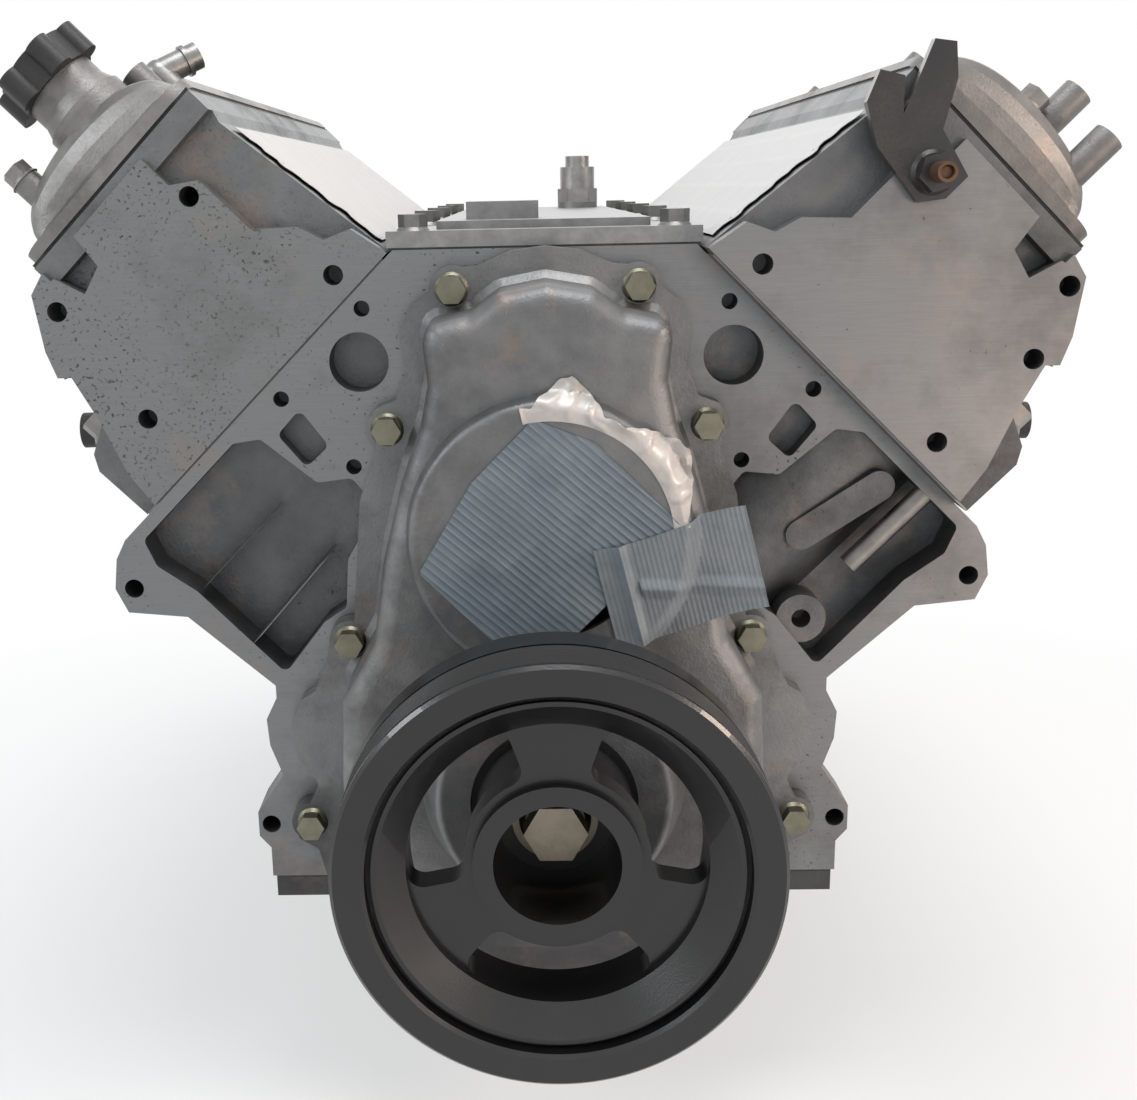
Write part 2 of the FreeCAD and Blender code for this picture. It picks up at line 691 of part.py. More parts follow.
def along_valve(y, reach):
    """Point on a valve's axis at one height above the deck."""
    lean = radians(valve_angle)
    return (-(reach - valve_seat) * sin(lean) / cos(lean), y, reach)


def head_space():
    """Rocker box, chambers, ports, guides, pushrod passages, plug holes and bolt holes."""
    end = deck_length + head_end
    cuts = [box(-116 + box_wall, 2 - box_wall, -head_end + 14, end - 14, box_floor, head_height + 1)]
    for k in range(cylinders_per_bank):
        y = k * bore_pitch
        for offset, radius in ((valve_offset, 26), (-valve_offset, 21)):
            here = y + offset
            cuts.append(rod(radius + 1.5, along_valve(here, -8), along_valve(here, valve_seat + 0.3)))
            cuts.append(rod(radius - 3, along_valve(here, valve_seat - 2), along_valve(here, 34)))
            cuts.append(rod(stem_radius + running_gap, along_valve(here, 20),
                            along_valve(here, box_floor + 5)))
            cuts.append(rod(9, (lifter_across, here, -1), (lifter_across, here, box_floor + 1)))
        cuts.append(box(-20, 20, y - 20, y + 20, -1, valve_seat + 1))
        cuts.append(box(-130, -62, y - 13, y + 13, 24, 76))
        cuts.append(rod(15, (-70, y, 48), (-4, y + valve_offset, 24)))
        cuts.append(rod(16, (exhaust_face + 1, y - valve_offset, 20), (-3, y - valve_offset, 26)))
        for offset in (-22, 26):
            here = y - valve_offset + offset
            cuts.append(rod(bolt_m8, (exhaust_face - manifold_thread, here, 20),
                            (exhaust_face + 1, here, 20)))
        cuts.append(plug_bar(y, 6.1, 0, 60))
        cuts.append(plug_bar(y, 13, 42, 90))
    for y in bolt_stations:
        for above in (12, 68):
            face = V(-126 + 12 * above / 104, y, above)
            normal = V(-104, 0, 12).normalize()
            cuts.append(rod(bolt_m8, face - normal * manifold_thread, face + normal * 2))
        for across in (-bolt_across, bolt_across):
            cuts.append(rod(bolt_m11 + 0.5, (across, y, -1), (across, y, head_height)))
            if across > 0:
                cuts.append(rod(13, (across, y, bolt_ledge), (across, y, head_height)))
    return cuts


bolt_ledge = 46.0
manifold_thread = 14.0
plug_foot = (18.0, 6.0)
plug_lean = 46.0


def plug_point(y, reach):
    lean = radians(plug_lean)
    return (plug_foot[0] + reach * sin(lean), y, plug_foot[1] + reach * cos(lean))


def plug_bar(y, radius, start, stop):
    return rod(radius, plug_point(y, start), plug_point(y, stop))


def cylinder_head(side):
    front, back = -head_end, deck_length + head_end
    body = slab(head_profile, front + end_slab, back - end_slab)
    body = body.fuse([slab(end_profile, front, front + end_slab + 1),
                      slab(end_profile, back - end_slab - 1, back)])
    corner = [(0, 118), (12, 115), (29, 92), (33, 76), (0, 88)]
    body = body.fuse([slab(corner, front, front + 26), slab(corner, back - 26, back),
                      box(-116, 2, front + 4, front + 22, head_height - 13, head_height),
                      box(-116, 2, back - 22, back - 4, head_height - 13, head_height)])
    body = body.cut(head_space())
    pedestals = []
    for k in range(cylinders_per_bank):
        for offset in (-valve_offset, valve_offset):
            y = k * bore_pitch + offset
            pedestals.append(box(-72, -56, y - 8, y + 8, box_floor - 1, 99))
    for across, y in cover_bolt_places[side]:
        pedestals.append(rod(7.5, (across, y, box_floor - 1), (across, y, 100)))
    body = body.fuse(pedestals)
    threads = [rod(bolt_m8, (across, y, box_floor + 5), (across, y, 101))
               for across, y in cover_bolt_places[side]]
    threads += [rod(bolt_m8, (-64, k * bore_pitch + offset, 85), (-64, k * bore_pitch + offset, 100))
                for k in range(cylinders_per_bank) for offset in (-valve_offset, valve_offset)]
    body = body.cut(threads)
    ends = (("A", front), ("B", back)) if side > 0 else (("B", front), ("A", back))
    holes = []
    for name, y in ends:
        for across, above in end_holes[name]:
            holes.append(barrel(end_hole_radius[name], y - 21, y + 21, across, above))
    body = body.cut(holes)
    return to_bank(body.removeSplitter(), side)


def head_gasket(side):
    sheet = box(-122, 58, -head_end + 4, deck_length + head_end - 4, 0, gasket)
    for k in range(cylinders_per_bank):
        y = k * bore_pitch
        sheet = sheet.cut(rod(bore_radius + 1, (0, y, -2), (0, y, 1)))
        for offset in (-valve_offset, valve_offset):
            sheet = sheet.cut(rod(9, (lifter_across, y + offset, -2), (lifter_across, y + offset, 1)))
    for y in bolt_stations:
        for across in (-bolt_across, bolt_across):
            sheet = sheet.cut(rod(bolt_m11 + 0.5, (across, y, -2), (across, y, 1)))
    return to_bank(sheet, side)


def head_bolts():
    bolts = []
    for side in (1, -1):
        for y in bolt_stations:
            for across, seat in ((-bolt_across, box_floor), (bolt_across, bolt_ledge)):
                solid = bolt(bolt_m11, seat + 60, (across, y, seat), (0, 0, 1))
                bolts.append(to_bank(solid, side))
    keep("head_bolts", bolts)


def valve(y, radius):
    seat, tip = V(*along_valve(y, valve_seat - 1.5)), V(*along_valve(y, valve_tip))
    axis = (tip - seat).normalize()
    head = Part.makeCylinder(radius, 1.5, seat, axis)
    tulip = Part.makeCone(radius - 3, stem_radius, 11, seat + axis * 1.5, axis)
    stem = Part.makeCylinder(stem_radius, (tip - seat).Length, seat, axis)
    return joined([head, tulip, stem])


def spring(y):
    foot, top = V(*along_valve(y, spring_foot)), V(*along_valve(y, spring_top))
    axis = (top - foot).normalize()
    tall = (top - foot).Length
    outer = Part.makeCone(13, 11.5, tall, foot, axis)
    return outer.cut(Part.makeCylinder(stem_radius + 4, tall + 2, foot - axis, axis))


def retainer(y):
    base = V(*along_valve(y, spring_top))
    axis = (V(*along_valve(y, valve_tip)) - base).normalize()
    disc = Part.makeCylinder(12, 3, base, axis)
    return disc.cut(Part.makeCylinder(stem_radius, 6, base - axis, axis))


def rocker(y):
    """Rocker arm from the pushrod's cup to the valve's tip, 14 wide."""
    tip = along_valve(y, valve_tip)
    outline = [(lifter_across - 7, 103), (lifter_across + 7, 103), (-72, 99.2), (-56, 99.2),
               (tip[0] - 8, valve_tip + 1), (tip[0] + 7, valve_tip + 1), (tip[0] + 7, valve_tip + 7),
               (-56, 120), (-72, 120), (lifter_across - 7, 112)]
    arm = slab(outline, y - 7, y + 7)
    return arm.cut(rod(4, (-64, y, 90), (-64, y, 130)))


def valve_gear():
    valves, springs, rockers, pushrods, lifters, studs = [], [], [], [], [], []
    nose = lobe_base_radius + lobe_lift + 0.3
    for side in (1, -1):
        for k in range(cylinders_per_bank):
            for offset, radius in ((valve_offset, 25.5), (-valve_offset, 20.5)):
                y = k * bore_pitch + offset
                low = cam_below_deck + nose
                body = rod(lifter_radius, (lifter_across, y, low + 9), (lifter_across, y, low + 70))
                roller = barrel(9.5, y - 5, y + 5, lifter_across, low + 9.5)
                push = rod(4, (lifter_across, y, low + 70), (lifter_across, y, 103))
                stud = bolt(4, 34, (-64, y, 120), (0, 0, 1))
                for group, solid in ((valves, valve(y, radius)), (springs, spring(y)),
                                     (springs, retainer(y)), (rockers, rocker(y)),
                                     (pushrods, push), (lifters, body.fuse(roller)), (studs, stud)):
                    group.append(to_bank(solid, side))
    keep("valves", valves)
    keep("valve_springs", springs)
    keep("rocker_arms", rockers)
    keep("rocker_arms", studs)
    keep("pushrods_and_lifters", pushrods)
    keep("pushrods_and_lifters", lifters)


def spark_plugs():
    plugs, boots = [], []
    for side in (1, -1):
        for k in range(cylinders_per_bank):
            y = k * bore_pitch
            axis = (V(*plug_point(y, 1)) - V(*plug_point(y, 0))).normalize()
            body = joined([plug_bar(y, 6, 4, 44), plug_bar(y, 10, 42, 46),
                           hexagon(16, 10, plug_point(y, 46), tuple(axis)), plug_bar(y, 5, 56, 74)])
            boot = plug_bar(y, 10, 57, 80).cut(plug_bar(y, 5, 56, 74))
            plugs.append(to_bank(body, side))
            boots.append(to_bank(boot, side))
    keep("spark_plugs", plugs)
    keep("spark_plug_caps", boots)


# Rocker covers --------------------------------------------------------------------------------

cover_seat = head_height + 2.0
cover_rim = 6.0
cover_bolt_seat = cover_seat + cover_rim + 28.7
cover_inner, cover_outer = -117.0, 3.0
crown_points = [(-109, 0), (-106, 12), (-93, 22), (-74, 27), (-40, 27), (-21, 22), (-8, 12), (-5, 0)]
end_round = 20.0


def dome_section(wall, base, y, share):
    """Closed wire of the crowned section; share is how far it has risen from the rim."""
    middle, crown = -57.0, 27.0
    wide = (1 - wall / 54) * (0.93 + 0.07 * share)
    points = [V(middle + (across - middle) * wide, y, base + above * share * (crown - wall) / crown)
              for across, above in crown_points]
    curve = Part.BSplineCurve()
    curve.interpolate(points)
    return Part.Wire([curve.toShape(), Part.makeLine(points[-1], points[0])])


def dome(wall, base, y0, y1):
    """Crowned cover body rounded down at both ends; wall is how far inside the skin it lies."""
    turns = [radians(angle) for angle in (8, 25, 45, 65, 90)]
    sides = [(y0 + wall + end_round * (1 - cos(turn)), sin(turn)) for turn in turns]
    sides += [(y1 - wall - end_round * (1 - cos(turn)), sin(turn)) for turn in reversed(turns)]
    return Part.makeLoft([dome_section(wall, base, y, share) for y, share in sides], True, True)


def rocker_cover(side):
    y0, y1 = -head_end + 5, deck_length + head_end - 5
    rim = box(cover_inner, cover_outer, y0, y1, cover_seat, cover_seat + cover_rim)
    rim = rim.makeFillet(14, [edge for edge in rim.Edges if abs(edge.BoundBox.ZLength - cover_rim) < 0.1])
    skin_top = cover_seat + cover_rim
    body = rim.fuse(dome(0, skin_top - 0.5, y0 + 7, y1 - 7))
    posts, tubes, holes = [], [], []
    for across, above, y in cover_posts[side]:
        posts.append(rod(8, (across, y, skin_top + 2), (across, y, skin_top + above)))
        holes.append(rod(3, (across, y, skin_top + above - 10), (across, y, skin_top + above + 1)))
    for across, y in cover_bolt_places[side]:
        tubes.append(rod(7.5, (across, y, cover_seat), (across, y, cover_bolt_seat)))
        holes.append(rod(bolt_m8 + 0.4, (across, y, cover_seat - 1), (across, y, skin_top + 40)))
    if side < 0:
        posts.append(rod(24, (neck_across, neck_y, skin_top + 2), (neck_across, neck_y, skin_top + 29)))
        holes.append(rod(17, (neck_across, neck_y, cover_seat + 10), (neck_across, neck_y, skin_top + 50)))
        tube_y = 120 - bank_first[-1]
        holes.append(rod(8, (-98, tube_y, skin_top + 10), (-98, tube_y, skin_top + 40)))
    for post in posts:
        body = body.fuse(post)
    body = body.cut(dome(4, skin_top - 2, y0 + 7, y1 - 7))
    body = body.cut(box(cover_inner + 17, cover_outer - 17, y0 + 17, y1 - 17, cover_seat - 1, skin_top))
    for tube in tubes:
        body = body.fuse(tube)
    for hole in holes:
        body = body.cut(hole)
    return to_bank(body.removeSplitter(), side)


neck_y = neck_station - bank_first[-1]
bolt_shift = 16.0
middle_bolts = [(-57, bolt_stations[1] + bolt_shift), (-57, bolt_stations[3] - bolt_shift),
                (-57, bolt_stations[4] - bolt_shift)]
cover_bolt_places = {1: [(-57, bolt_stations[0] + bolt_shift)] + middle_bolts,
                     -1: [(-22, bolt_stations[0])] + middle_bolts}
cover_posts = {1: [(-42, 53, -31), (-22, 41, -59), (-40, 53, 381), (-24, 39, 350),
                   (-98, 27, 40), (-98, 27, 300)],
               -1: [(-26, 28, -30), (-95, 32, -18), (-26, 28, 366), (-92, 34, 340)]}


def cover_gasket(side):
    y0, y1 = -head_end + 6, deck_length + head_end - 6
    sheet = box(cover_inner + 1, cover_outer - 1, y0, y1, head_height, cover_seat)
    inside = box(cover_inner + 9, cover_outer - 9, y0 + 9, y1 - 9, head_height - 1, cover_seat + 1)
    return to_bank(sheet.cut(inside), side)


def cover_bolts():
    solids = []
    for side in (1, -1):
        for across, y in cover_bolt_places[side]:
            length = cover_bolt_seat - box_floor - 6
            solids.append(to_bank(bolt(bolt_m8, length, (across, y, cover_bolt_seat), (0, 0, 1)), side))
    keep("rocker_cover_bolts", solids)


def oil_filler():
    """Flared neck on the -X cover, and its lobed cap that turns on it."""
    base = cover_seat + cover_rim + 29
    here = (neck_across, neck_y)
    neck = joined([rod(24, here + (base,), here + (base + 3,)), rod(20.5, here + (base,), here + (base + 20,)),
                   Part.makeCone(23.5, 20.5, 8, V(*here, base + 2), Z)])
    neck = neck.cut(rod(17, here + (base - 1,), here + (base + 21,)))
    keep("oil_filler_neck", to_bank(neck, -1))
    top = base + 20 + 0.1
    lobes = [rod(7, (here[0] + 21 * cos(k * pi / 3), here[1] + 21 * sin(k * pi / 3), top),
                 (here[0] + 21 * cos(k * pi / 3), here[1] + 21 * sin(k * pi / 3), top + 17))
             for k in range(6)]
    cap = joined([rod(22.5, here + (top,), here + (top + 17,))] + lobes +
                 [rod(16.8, here + (top - 12,), here + (top + 1,)), rod(14, here + (top,), here + (top + 20,))])
    keep("oil_filler_cap", to_bank(cap, -1))


def vent_tube():
    """Bent hose barb on the -X cover."""
    y = 120 - bank_first[-1]
    top = cover_seat + cover_rim
    foot, knee, end = (-98, y, top + 10), (-98, y, top + 34), (-120, y + 10, top + 27)
    tube = joined([rod(8, foot, knee), Part.makeSphere(8, V(*knee)), rod(7.5, knee, end),
                   rod(8.8, (-112, y + 6.4, top + 29.5), (-114.2, y + 7.4, top + 28.8))])
    tube = tube.cut([rod(5, (-100.2, y + 1, top + 33.3), (-122.2, y + 11, top + 26.3))])
    keep("vent_tube", to_bank(tube, -1))


# Valley, front and rear covers, oil pan -------------------------------------------------------

valley_front, valley_rear = 2.0, 482.0
plate_low = valley_top + gasket
plate_high = plate_low + 8.0
sensor_station = 400.0


def valley_cover():
    sheet = box(-77, 77, valley_front, valley_rear, valley_top, plate_low)
    hollow = box(-58, 58, 16, block_length - 42, valley_top - 1, plate_low + 1)
    holes = [rod(bolt_m8 + 0.3, (x, y, valley_top - 1), (x, y, plate_high + 9)) for x, y in valley_bolts]
    keep("block_gaskets", sheet.cut([hollow] + holes))
    plate = box(-78, 78, valley_front, valley_rear, plate_low, plate_high)
    raised = box(-54, 54, 22, valley_rear - 24, plate_high, plate_high + 4)
    lug = box(-40, -2, 52, 76, plate_high, plate_high + 13)
    boss = rod(15, (32, sensor_station, plate_high), (32, sensor_station, plate_high + 8))
    relief = box(-50, 50, 26, valley_rear - 28, plate_low - 1, plate_high - 1)
    body = joined([plate, raised, lug, boss]).cut([relief] + holes)
    body = body.cut([rod(8, (32, sensor_station, plate_low - 1), (32, sensor_station, plate_high + 9))])
    keep("valley_cover", body)
    keep("valley_cover_bolts", [bolt(bolt_m8, plate_high - valley_top + 16, (x, y, plate_high), (0, 0, 1))
                                for x, y in valley_bolts])
    top = plate_high + 8
    sensor = joined([rod(8, (32, sensor_station, plate_low), (32, sensor_station, top)),
                     hexagon(26, 10, (32, sensor_station, top), (0, 0, 1)),
                     rod(13, (32, sensor_station, top), (32, sensor_station, top + 26)),
                     rod(9, (32, sensor_station, top + 20), (32, sensor_station, top + 34))])
    keep("pressure_sensor", sensor)


front_outline = risen([
    (0, 258), (17, 256), (33, 249), (52, 247), (57, 237), (67, 230), (72, 218), (70, 198), (75, 184),
    (86, 180), (90, 170), (86, 158), (95, 134), (100, 80), (101, 68), (113, 62), (117, 46), (123, 32),
    (131, 27), (138, 10), (134, -6), (124, -20), (128, -30), (138, -42), (136, -52), (126, -58),
    (122, -74), (122, -100)])
front_body = risen([(0, 243), (22, 239), (36, 229), (56, 225), (58, 216), (56, 197), (60, 178), (70, 151),
                    (80, 113), (86, 73), (103, 42), (105, 0), (105, -60), (100, -74), (100, -100)])
body_round = 10.0
foot_bevel = 4.0
cover_wall = 5.0
bulge_front = 70.0
bulge_radius = 66.0
bulge_opening = 46.0
seal_front = 85.0
seal_radius = 40.0
hub_sleeve_radius = 30.0


def cover_body():
    """Raised housing over the chain, with a rounded front and a bevelled foot on the flange."""
    body = soft_slab(both(front_body), 6, -cover_depth, -gasket)
    body = body.makeFillet(body_round, rim_edges(body, -cover_depth))
    step = -cover_flange - foot_bevel
    foot = soft_slab(both(front_body), 6, step, -gasket, -foot_bevel)
    foot = foot.makeChamfer(foot_bevel - 0.2, rim_edges(foot, step))
    flange = soft_slab(both(front_outline), 3, -cover_flange, -gasket)
    bosses = [barrel(11, -cover_flange, -gasket, side * x, z) for x, z in cover_holes
              for side in (-1, 1)]
    return body.fuse([foot, flange] + bosses)


def front_cover():
    bulge = cone(bulge_radius, bulge_radius + 5, -bulge_front, -cover_depth + 14, 0, cam_height)
    bulge = bulge.makeFillet(4, rim_edges(bulge, -bulge_front))
    nose = cone(56, 70, -seal_front, -cover_depth + 14)
    nose = nose.makeFillet(5, rim_edges(nose, -seal_front))
    shell = cover_body().fuse([bulge, nose])
    shell = shell.cut(box(-200, 200, -120, 10, pan_rail - 60, pan_rail))
    room = soft_slab(both(front_body), 6, -cover_depth + cover_wall, 5, cover_wall)
    holes = [barrel(bolt_m8 + 0.4, -cover_flange - 2, 1, side * x, z) for x, z in cover_holes
             for side in (-1, 1)]
    spots = [barrel(bolt_m8 * 2.1 + 0.5, -cover_flange - 6, -cover_flange, side * x, z)
             for x, z in cover_holes for side in (-1, 1)]
    cuts = [room, cone(bulge_radius - 5, bulge_radius - 2, -bulge_front + 4, -cover_depth + 6, 0, cam_height),
            barrel(bulge_opening, -bulge_front - 1, -cover_depth, 0, cam_height),
            barrel(seal_radius, -seal_front - 1, -cover_depth + 8), barrel(bolt_m8, -80, -50, 14, 52)]
    ribs = [barrel(8.5, -cover_flange - 14, -cover_flange, side * 84, 48) for side in (-1, 1)]
    shell = shell.fuse(ribs).cut(cuts + holes + spots)
    keep("front_cover", max(shell.Solids, key=lambda solid: solid.Volume))
    bolts = [bolt(bolt_m8, cover_flange + thread_depth - 2, (side * x, -cover_flange, z), (0, -1, 0))
             for x, z in cover_holes for side in (-1, 1)]
    keep("front_cover_bolts", bolts)
    sheet = soft_slab(both(front_outline), 3, -gasket, 0)
    sheet = sheet.cut([soft_slab(both(front_body), 6, -3, 1, cover_wall),
                       box(-200, 200, -3, 1, -160, pan_rail)] + holes)
    keep("block_gaskets", max(sheet.Solids, key=lambda solid: solid.Volume))
    lip = ring(seal_radius, hub_sleeve_radius + running_gap, -seal_front + 2, -seal_front + 12)
    keep("crank_seals", lip)


def tapes():
    """Round and square tape sheets over the front cover's opening."""
    disc = barrel(61, -bulge_front - 0.9, -bulge_front - 0.2, 0, cam_height)
    keep("tape_disc", disc)
    square = box(16, 86, -bulge_front - 1.9, -bulge_front - 1.1, 78, 140)
    keep("tape_square", square)


rear_outline = [(0, 88), (62, 84), (94, 68), (97, -10), (97, pan_rail)]


def rear_cover():
    y0, y1 = block_length + gasket, block_length + 11
    plate = slab(both(rear_outline), y0, y1)
    holes = [barrel(bolt_m8 + 0.4, y0 - 2, y1 + 2, side * x, z) for x, z in rear_bolts for side in (-1, 1)]
    opening = barrel(flange_radius + 11, y0 - 2, y1 + 2)
    keep("rear_cover", plate.cut(holes + [opening]))
    sheet = slab(both(rear_outline), block_length, y0)
    keep("block_gaskets", sheet.cut(holes + [barrel(flange_radius + 13, y0 - 3, y1)]))
    keep("lower_bolts", [bolt(bolt_m8, 26, (side * x, y1, z), (0, 1, 0)) for x, z in rear_bolts
                              for side in (-1, 1)])
    keep("crank_seals", ring(flange_radius + 11, flange_radius + running_gap, y0 + 1, y1 - 1))


pan_front, pan_rear = 4.0 - cover_depth, block_length + 9.0
pan_nose = 108.0
pan_wall = 4.0
sump_start, sump_end = 262.0, 470.0
drain_seat = sump_end + 22.0


def pan_body(inset):
    wide = 104 - inset
    front, rear = pan_front + 14 + inset, pan_rear - 14 - inset
    top = pan_rail - 1 + (2 if inset else 0)
    low, deep = pan_shallow + inset, pan_deep + inset
    side = [(front, top), (rear, top), (rear, low), (sump_end - inset, deep), (sump_start + inset, deep),
            (sump_start - 60 + inset, low), (front, low)]
    corners = [V(-wide, y, z) for y, z in side]
    return Part.Face(Part.makePolygon(corners + corners[:1])).extrude(V(2 * wide, 0, 0))


def pan_flange(z0, z1):
    """Flange under the block and, narrower, under the front cover."""
    return box(-152, 152, 0, pan_rear, z0, z1).fuse(box(-pan_nose, pan_nose, pan_front, 1, z0, z1))


def oil_pan():
    body = pan_flange(pan_rail - 12, pan_rail - gasket).fuse(pan_body(0))
    edges = [edge for edge in body.Edges if abs(edge.BoundBox.XMin) < 129 and edge.BoundBox.ZMax < -120
             and edge.BoundBox.XLength < 1 and edge.BoundBox.YLength > 20]
    body = body.makeFillet(18, edges)
    holes = [rod(bolt_m8 + 0.4, (x, y, pan_rail - 14), (x, y, pan_rail)) for x, y in pan_bolts]
    drain = rod(7, (0, sump_end - 30, pan_deep + 22), (0, sump_end + 40, pan_deep + 22))
    boss = rod(15, (0, sump_end - 6, pan_deep + 22), (0, drain_seat, pan_deep + 22))
    body = body.fuse(boss).cut([pan_body(pan_wall), drain] + holes)
    keep("oil_pan", body.removeSplitter())
    sheet = pan_flange(pan_rail - gasket, pan_rail)
    sheet = sheet.cut([pan_body(pan_wall)] + holes)
    keep("block_gaskets", sheet)
    keep("lower_bolts", [bolt(bolt_m8, 27, (x, y, pan_rail - 12), (0, 0, -1)) for x, y in pan_bolts])


def drain_plug():
    z = pan_deep + 22
    keep("lower_bolts", joined([barrel(7, drain_seat - 16, drain_seat + 1, 0, z),
                                barrel(13, drain_seat, drain_seat + 3, 0, z),
                                hexagon(21, 9, (0, drain_seat + 3, z), (0, 1, 0))]))


# Damper and small fittings --------------------------------------------------------------------

hub_nose = 96.0
spoke_front, spoke_back = -142.0, -128.0
web_foot = 41.0
window_half_angle = 41.0
window_round = 7.0


def inner_ring():
    """Ring that carries the rubber, dished inwards at the front."""
    solid = ring(80, 66, -157, -damper_rear - 2)
    return solid.cut(cone(79, 64, -158, -144))


def damper():
    hub = joined([barrel(hub_sleeve_radius, -hub_nose, -50), barrel(37, -146, -hub_nose + 6),
                  barrel(web_foot, spoke_front, spoke_back)])
    band = inner_ring()
    spokes = damper_web().cut([hub, band])
    hub = hub.cut([barrel(28, -147, -hub_nose), barrel(snout_radius, -hub_nose - 1, -40)])
    keep("damper_hub", [hub.removeSplitter(), band] + spokes.Solids)
    keep("damper_rubber", ring(82.5, 80, -154, -damper_rear - 4))
    rim = ring(damper_radius, 82.5, -damper_front, -damper_rear)
    rim = rim.makeChamfer(1.6, rim_edges(rim, -damper_front))
    grooves = []
    for k in range(6):
        y = -158 + 3.6 * k
        tool = cone(damper_radius + 0.1, damper_radius - 2.6, y, y + 1.8)
        tool = tool.fuse(cone(damper_radius - 2.6, damper_radius + 0.1, y + 1.8, y + 3.6))
        grooves.append(ring(damper_radius + 2, damper_radius - 8, y, y + 3.6).cut(tool))
    rim = rim.cut(grooves)
    rim = rim.cut(ring(damper_radius + 2, damper_radius - 1.5, -135.8, -134))
    keep("damper_ring", rim)
    keep("damper_bolt", bolt(8, 40, (0, -hub_nose - 4, 0), (0, -1, 0)))
    keep("damper_bolt", ring(20, 8, -hub_nose - 4, -hub_nose))


def damper_web():
    """Dished web with three rounded windows between its spokes."""
    web = ring(70, 30, spoke_front, spoke_back)
    web = web.cut([window(angle) for angle in (30, 150, 270)])
    return web


def window(angle):
    """One window, from the hub's foot to the inner ring, with rounded corners."""
    inner, outer, reach = web_foot, 66.0, radians(window_half_angle)
    corners = [V(r * cos(t), 0, r * sin(t)) for r in (inner, outer) for t in (-reach, 0, reach)]
    rim = Part.Arc(corners[3], corners[4], corners[5]).toShape()
    foot = Part.Arc(corners[2], corners[1], corners[0]).toShape()
    sides = [Part.makeLine(corners[5], corners[2]), Part.makeLine(corners[0], corners[3])]
    face = Part.Face(Part.Wire(Part.sortEdges([rim, foot] + sides)[0]))
    face = face.makeOffset2D(-window_round).makeOffset2D(window_round)
    tool = face.extrude(V(0, spoke_back - spoke_front + 20, 0))
    tool.translate(V(0, spoke_front - 10, 0))
    tool.rotate(V(0, 0, 0), Y, -angle)
    return tool


def lift_bracket():
    """Forked steel plate on the forward head's front face, with its two bolts."""
    y1 = -head_end
    outline = [(-104, 86), (-72, 82), (-64, 92), (-64, 106), (-88, 112), (-100, 132), (-112, 142),
               (-120, 136), (-112, 118), (-106, 104), (-118, 116), (-128, 110), (-122, 96)]
    plate = slab(outline, y1 - 6, y1)
    plate = plate.cut(barrel(bolt_m10 + 0.4, y1 - 7, y1 + 1, -77, 96))
    keep("lift_bracket", to_bank(plate, 1))
    keep("lift_bracket", to_bank(bolt(bolt_m10, 24, (-77, y1 - 6, 96), (0, -1, 0)), 1))


def core_plugs():
    keep("core_plugs", [plug.cut(inner) for plug, inner in zip(core_bars(17, 0), core_bars(15, 2))])


def port_tapes(side):
    """Thin torn sheet over the intake face of one head."""
    y0, y1 = -head_end + 16, 100
    sheet = slab([(-126.3, 6), (-125.7, 6), (-114.9, 100), (-115.5, 100)], y0, y1)
    return to_bank(sheet, side)


def build():
    engine_block()
    main_caps()
    main_bearings()
    crankshaft()
    piston_nodes()
    connecting_rods()
    camshaft()
    timing_drive()
    timing_chain()
    oil_pump()
    pickup_tube()
    windage_tray()
    for side, name in ((1, "right"), (-1, "left")):
        keep("cylinder_head_" + name, cylinder_head(side))
        keep("head_gaskets", head_gasket(side))
        keep("rocker_cover_" + name, rocker_cover(side))
        keep("rocker_cover_gaskets", cover_gasket(side))
        keep("port_tapes", port_tapes(side))
    head_bolts()
    valve_gear()
    spark_plugs()
    cover_bolts()
    oil_filler()
    vent_tube()
    valley_cover()
    front_cover()
    tapes()
    rear_cover()
    oil_pan()
    drain_plug()
    damper()
    lift_bracket()
    core_plugs()
    os.makedirs("parts", exist_ok=True)
    for name, solids in pieces.items():
        shape = solids[0] if len(solids) == 1 else Part.makeCompound(solids)
        shape.exportStep("parts/%s.step" % name)
    print(len(pieces), "nodes")


build()
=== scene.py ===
"""Looks of a V8 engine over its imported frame: materials, torn tape sheets and a rusty stud."""
import bpy
from math import cos, degrees, pi, radians, sin, sqrt
from mathutils import Matrix, Vector, noise


